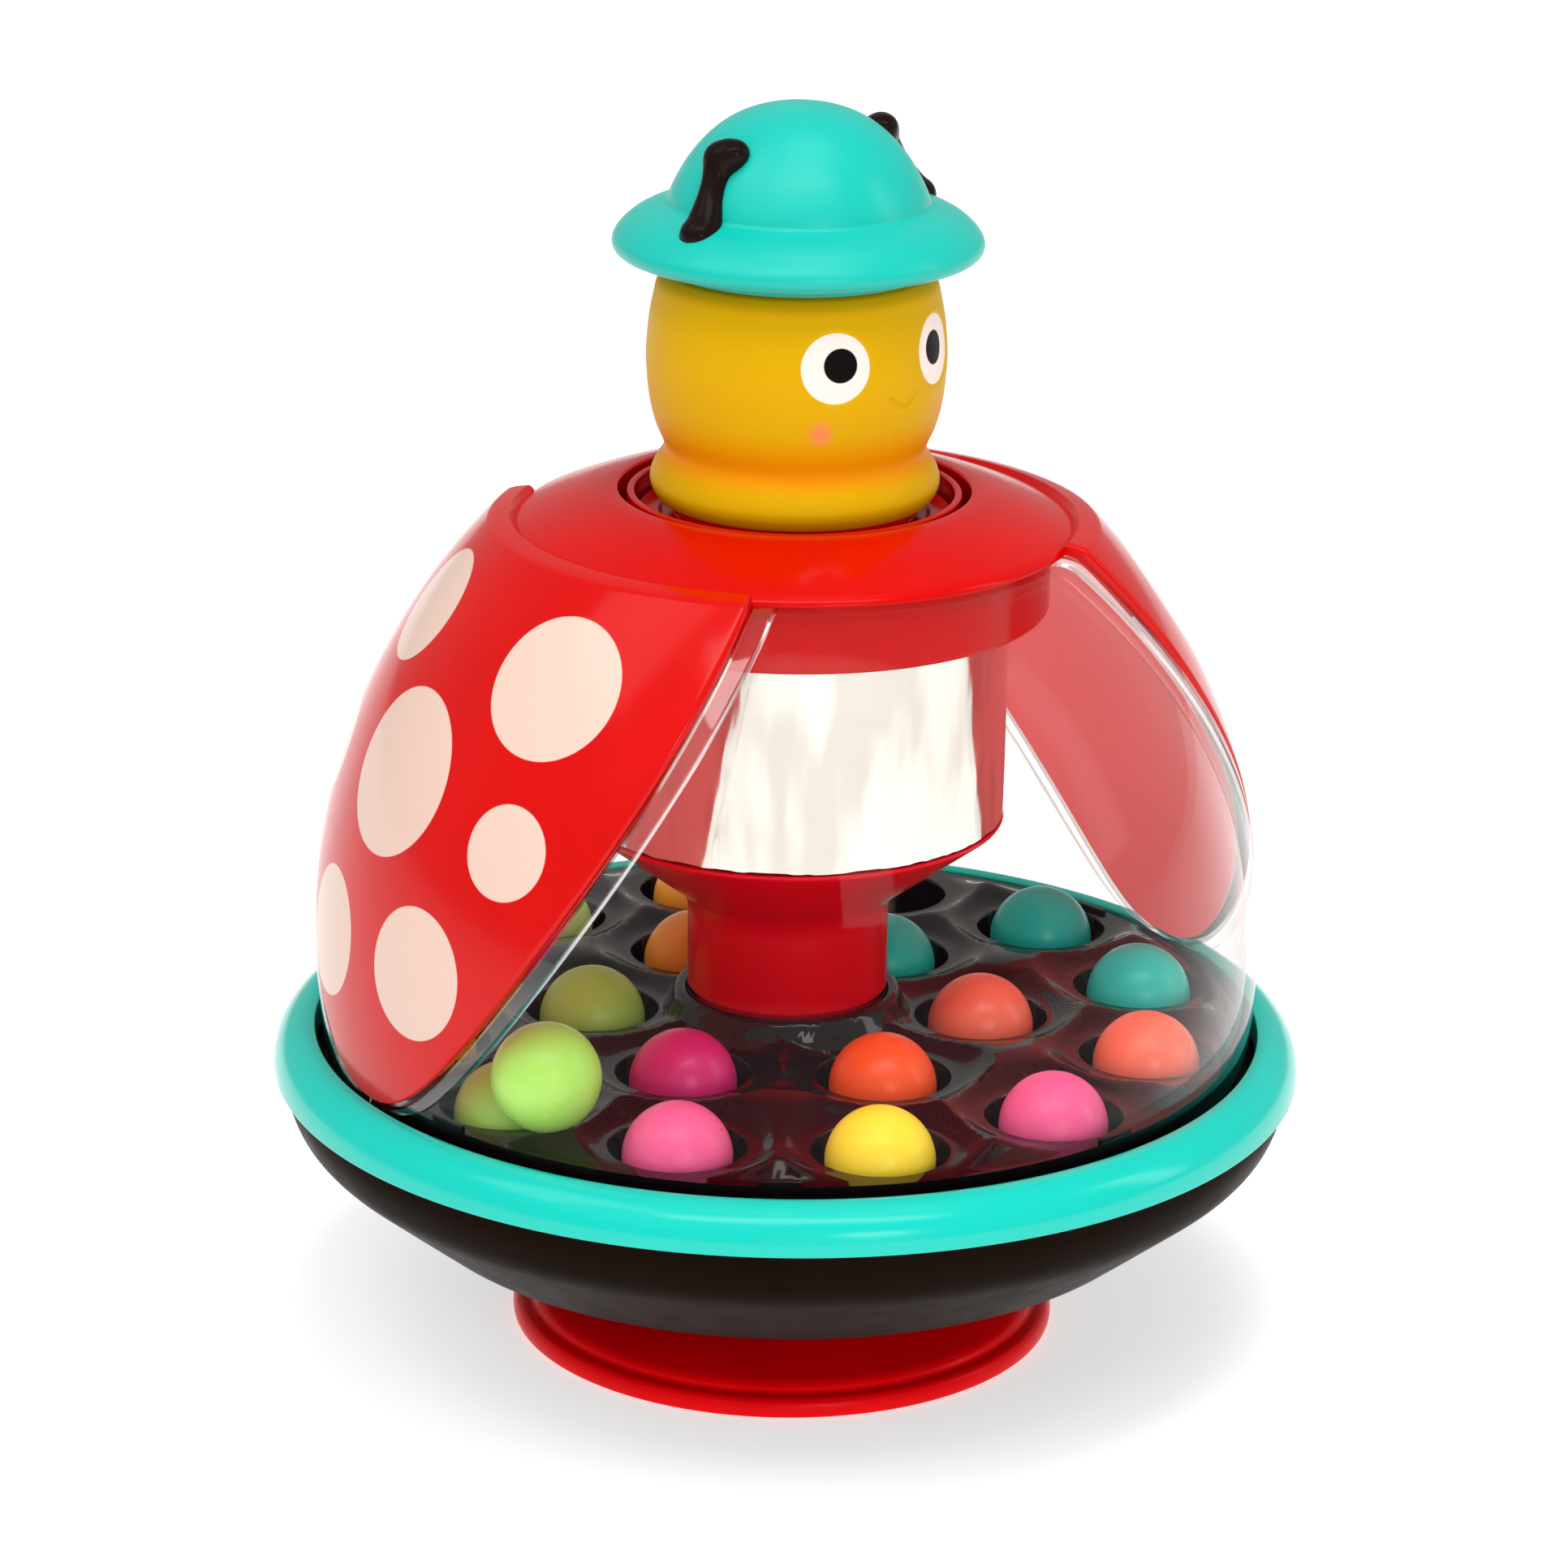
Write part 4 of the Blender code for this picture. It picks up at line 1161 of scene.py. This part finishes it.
def build_studio():
    """A nearly even pale world, one broad sun and a few softboxes."""
    world = bpy.data.worlds.new("studio")
    bpy.context.scene.world = world
    world.use_nodes = True
    tree = world.node_tree
    background = tree.nodes["Background"]
    position = tree.nodes.new("ShaderNodeTexCoord").outputs["Generated"]
    up = node(tree, "ShaderNodeSeparateXYZ", {"Vector": position}).outputs["Z"]
    strength = remap(tree, up, 0.0, 0.9, WORLD_LOW, WORLD_HIGH, smooth=True)
    tree.links.new(strength, background.inputs["Strength"])
    background.inputs["Color"].default_value = (1.0, 0.985, 0.97, 1.0)
    sun = bpy.data.lights.new("sun", "SUN")
    sun.energy = SUN_POWER
    sun.angle = math.radians(50.0)
    obj = placed("sun", sun)
    obj.location = polar(1500.0, -70.0, 1900.0)
    obj.visible_glossy = False
    aim(obj)
    # Each softbox: azimuth, elevation and distance, width and height in metres, and power.
    softbox("key", -104.0, 56.0, 1.5, 0.6, 0.7, 1.5)
    softbox("front", -26.0, 62.0, 1.4, 1.1, 0.3, 3.2)
    softbox("right", 58.0, 28.0, 1.5, 0.25, 0.9, 1.5)
    overhead = softbox("overhead", 20.0, 84.0, 1.3, 0.6, 0.6, 8.0)
    overhead.visible_glossy = False
    softbox("sparkle", -12.0, 22.0, 1.4, 0.3, 0.3, 1.1)
    fill = softbox("fill", -18.0, 14.0, 1.5, 0.9, 0.6, 4.6)
    fill.visible_glossy = False
    bpy.context.scene.view_settings.view_transform = "Standard"


def build_camera():
    """A long lens, rolled and shifted a little."""
    data = bpy.data.cameras.new("camera")
    data.lens = CAMERA_LENS
    data.sensor_width = 36.0
    data.shift_x = CAMERA_SHIFT
    data.clip_start = 0.05
    data.clip_end = 50.0
    camera = placed("camera", data)
    pitch = math.radians(CAMERA_PITCH)
    reach = CAMERA_DISTANCE / MM
    camera.location = polar(reach * math.cos(pitch), CAMERA_AZIMUTH, TARGET_Z + reach * math.sin(pitch))
    aim(camera)
    camera.rotation_quaternion @= Matrix.Rotation(math.radians(CAMERA_ROLL), 3, "Z").to_quaternion()
    bpy.context.scene.camera = camera


# The face's paint follows the head's outline, so this material comes after it.
yellow_vinyl = moulded(
    "yellow_vinyl", srgb(214, 164, 0), 0.45, shade=0.97, grain=0.3, specular=0.08, glow=0.03, paint=head_paint
)

build_foot()
build_bowl()
build_ring()
build_shoulder()
build_column()
build_drum()
build_dome()
build_wing("left_wing", -90.0)
build_wing("right_wing", 90.0)
build_tray()
build_balls()
build_head()
build_hat()
build_antennae()
build_return_spring()
build_snap_tabs()
finish_cad_nodes()
build_floor()
build_studio()
build_camera()
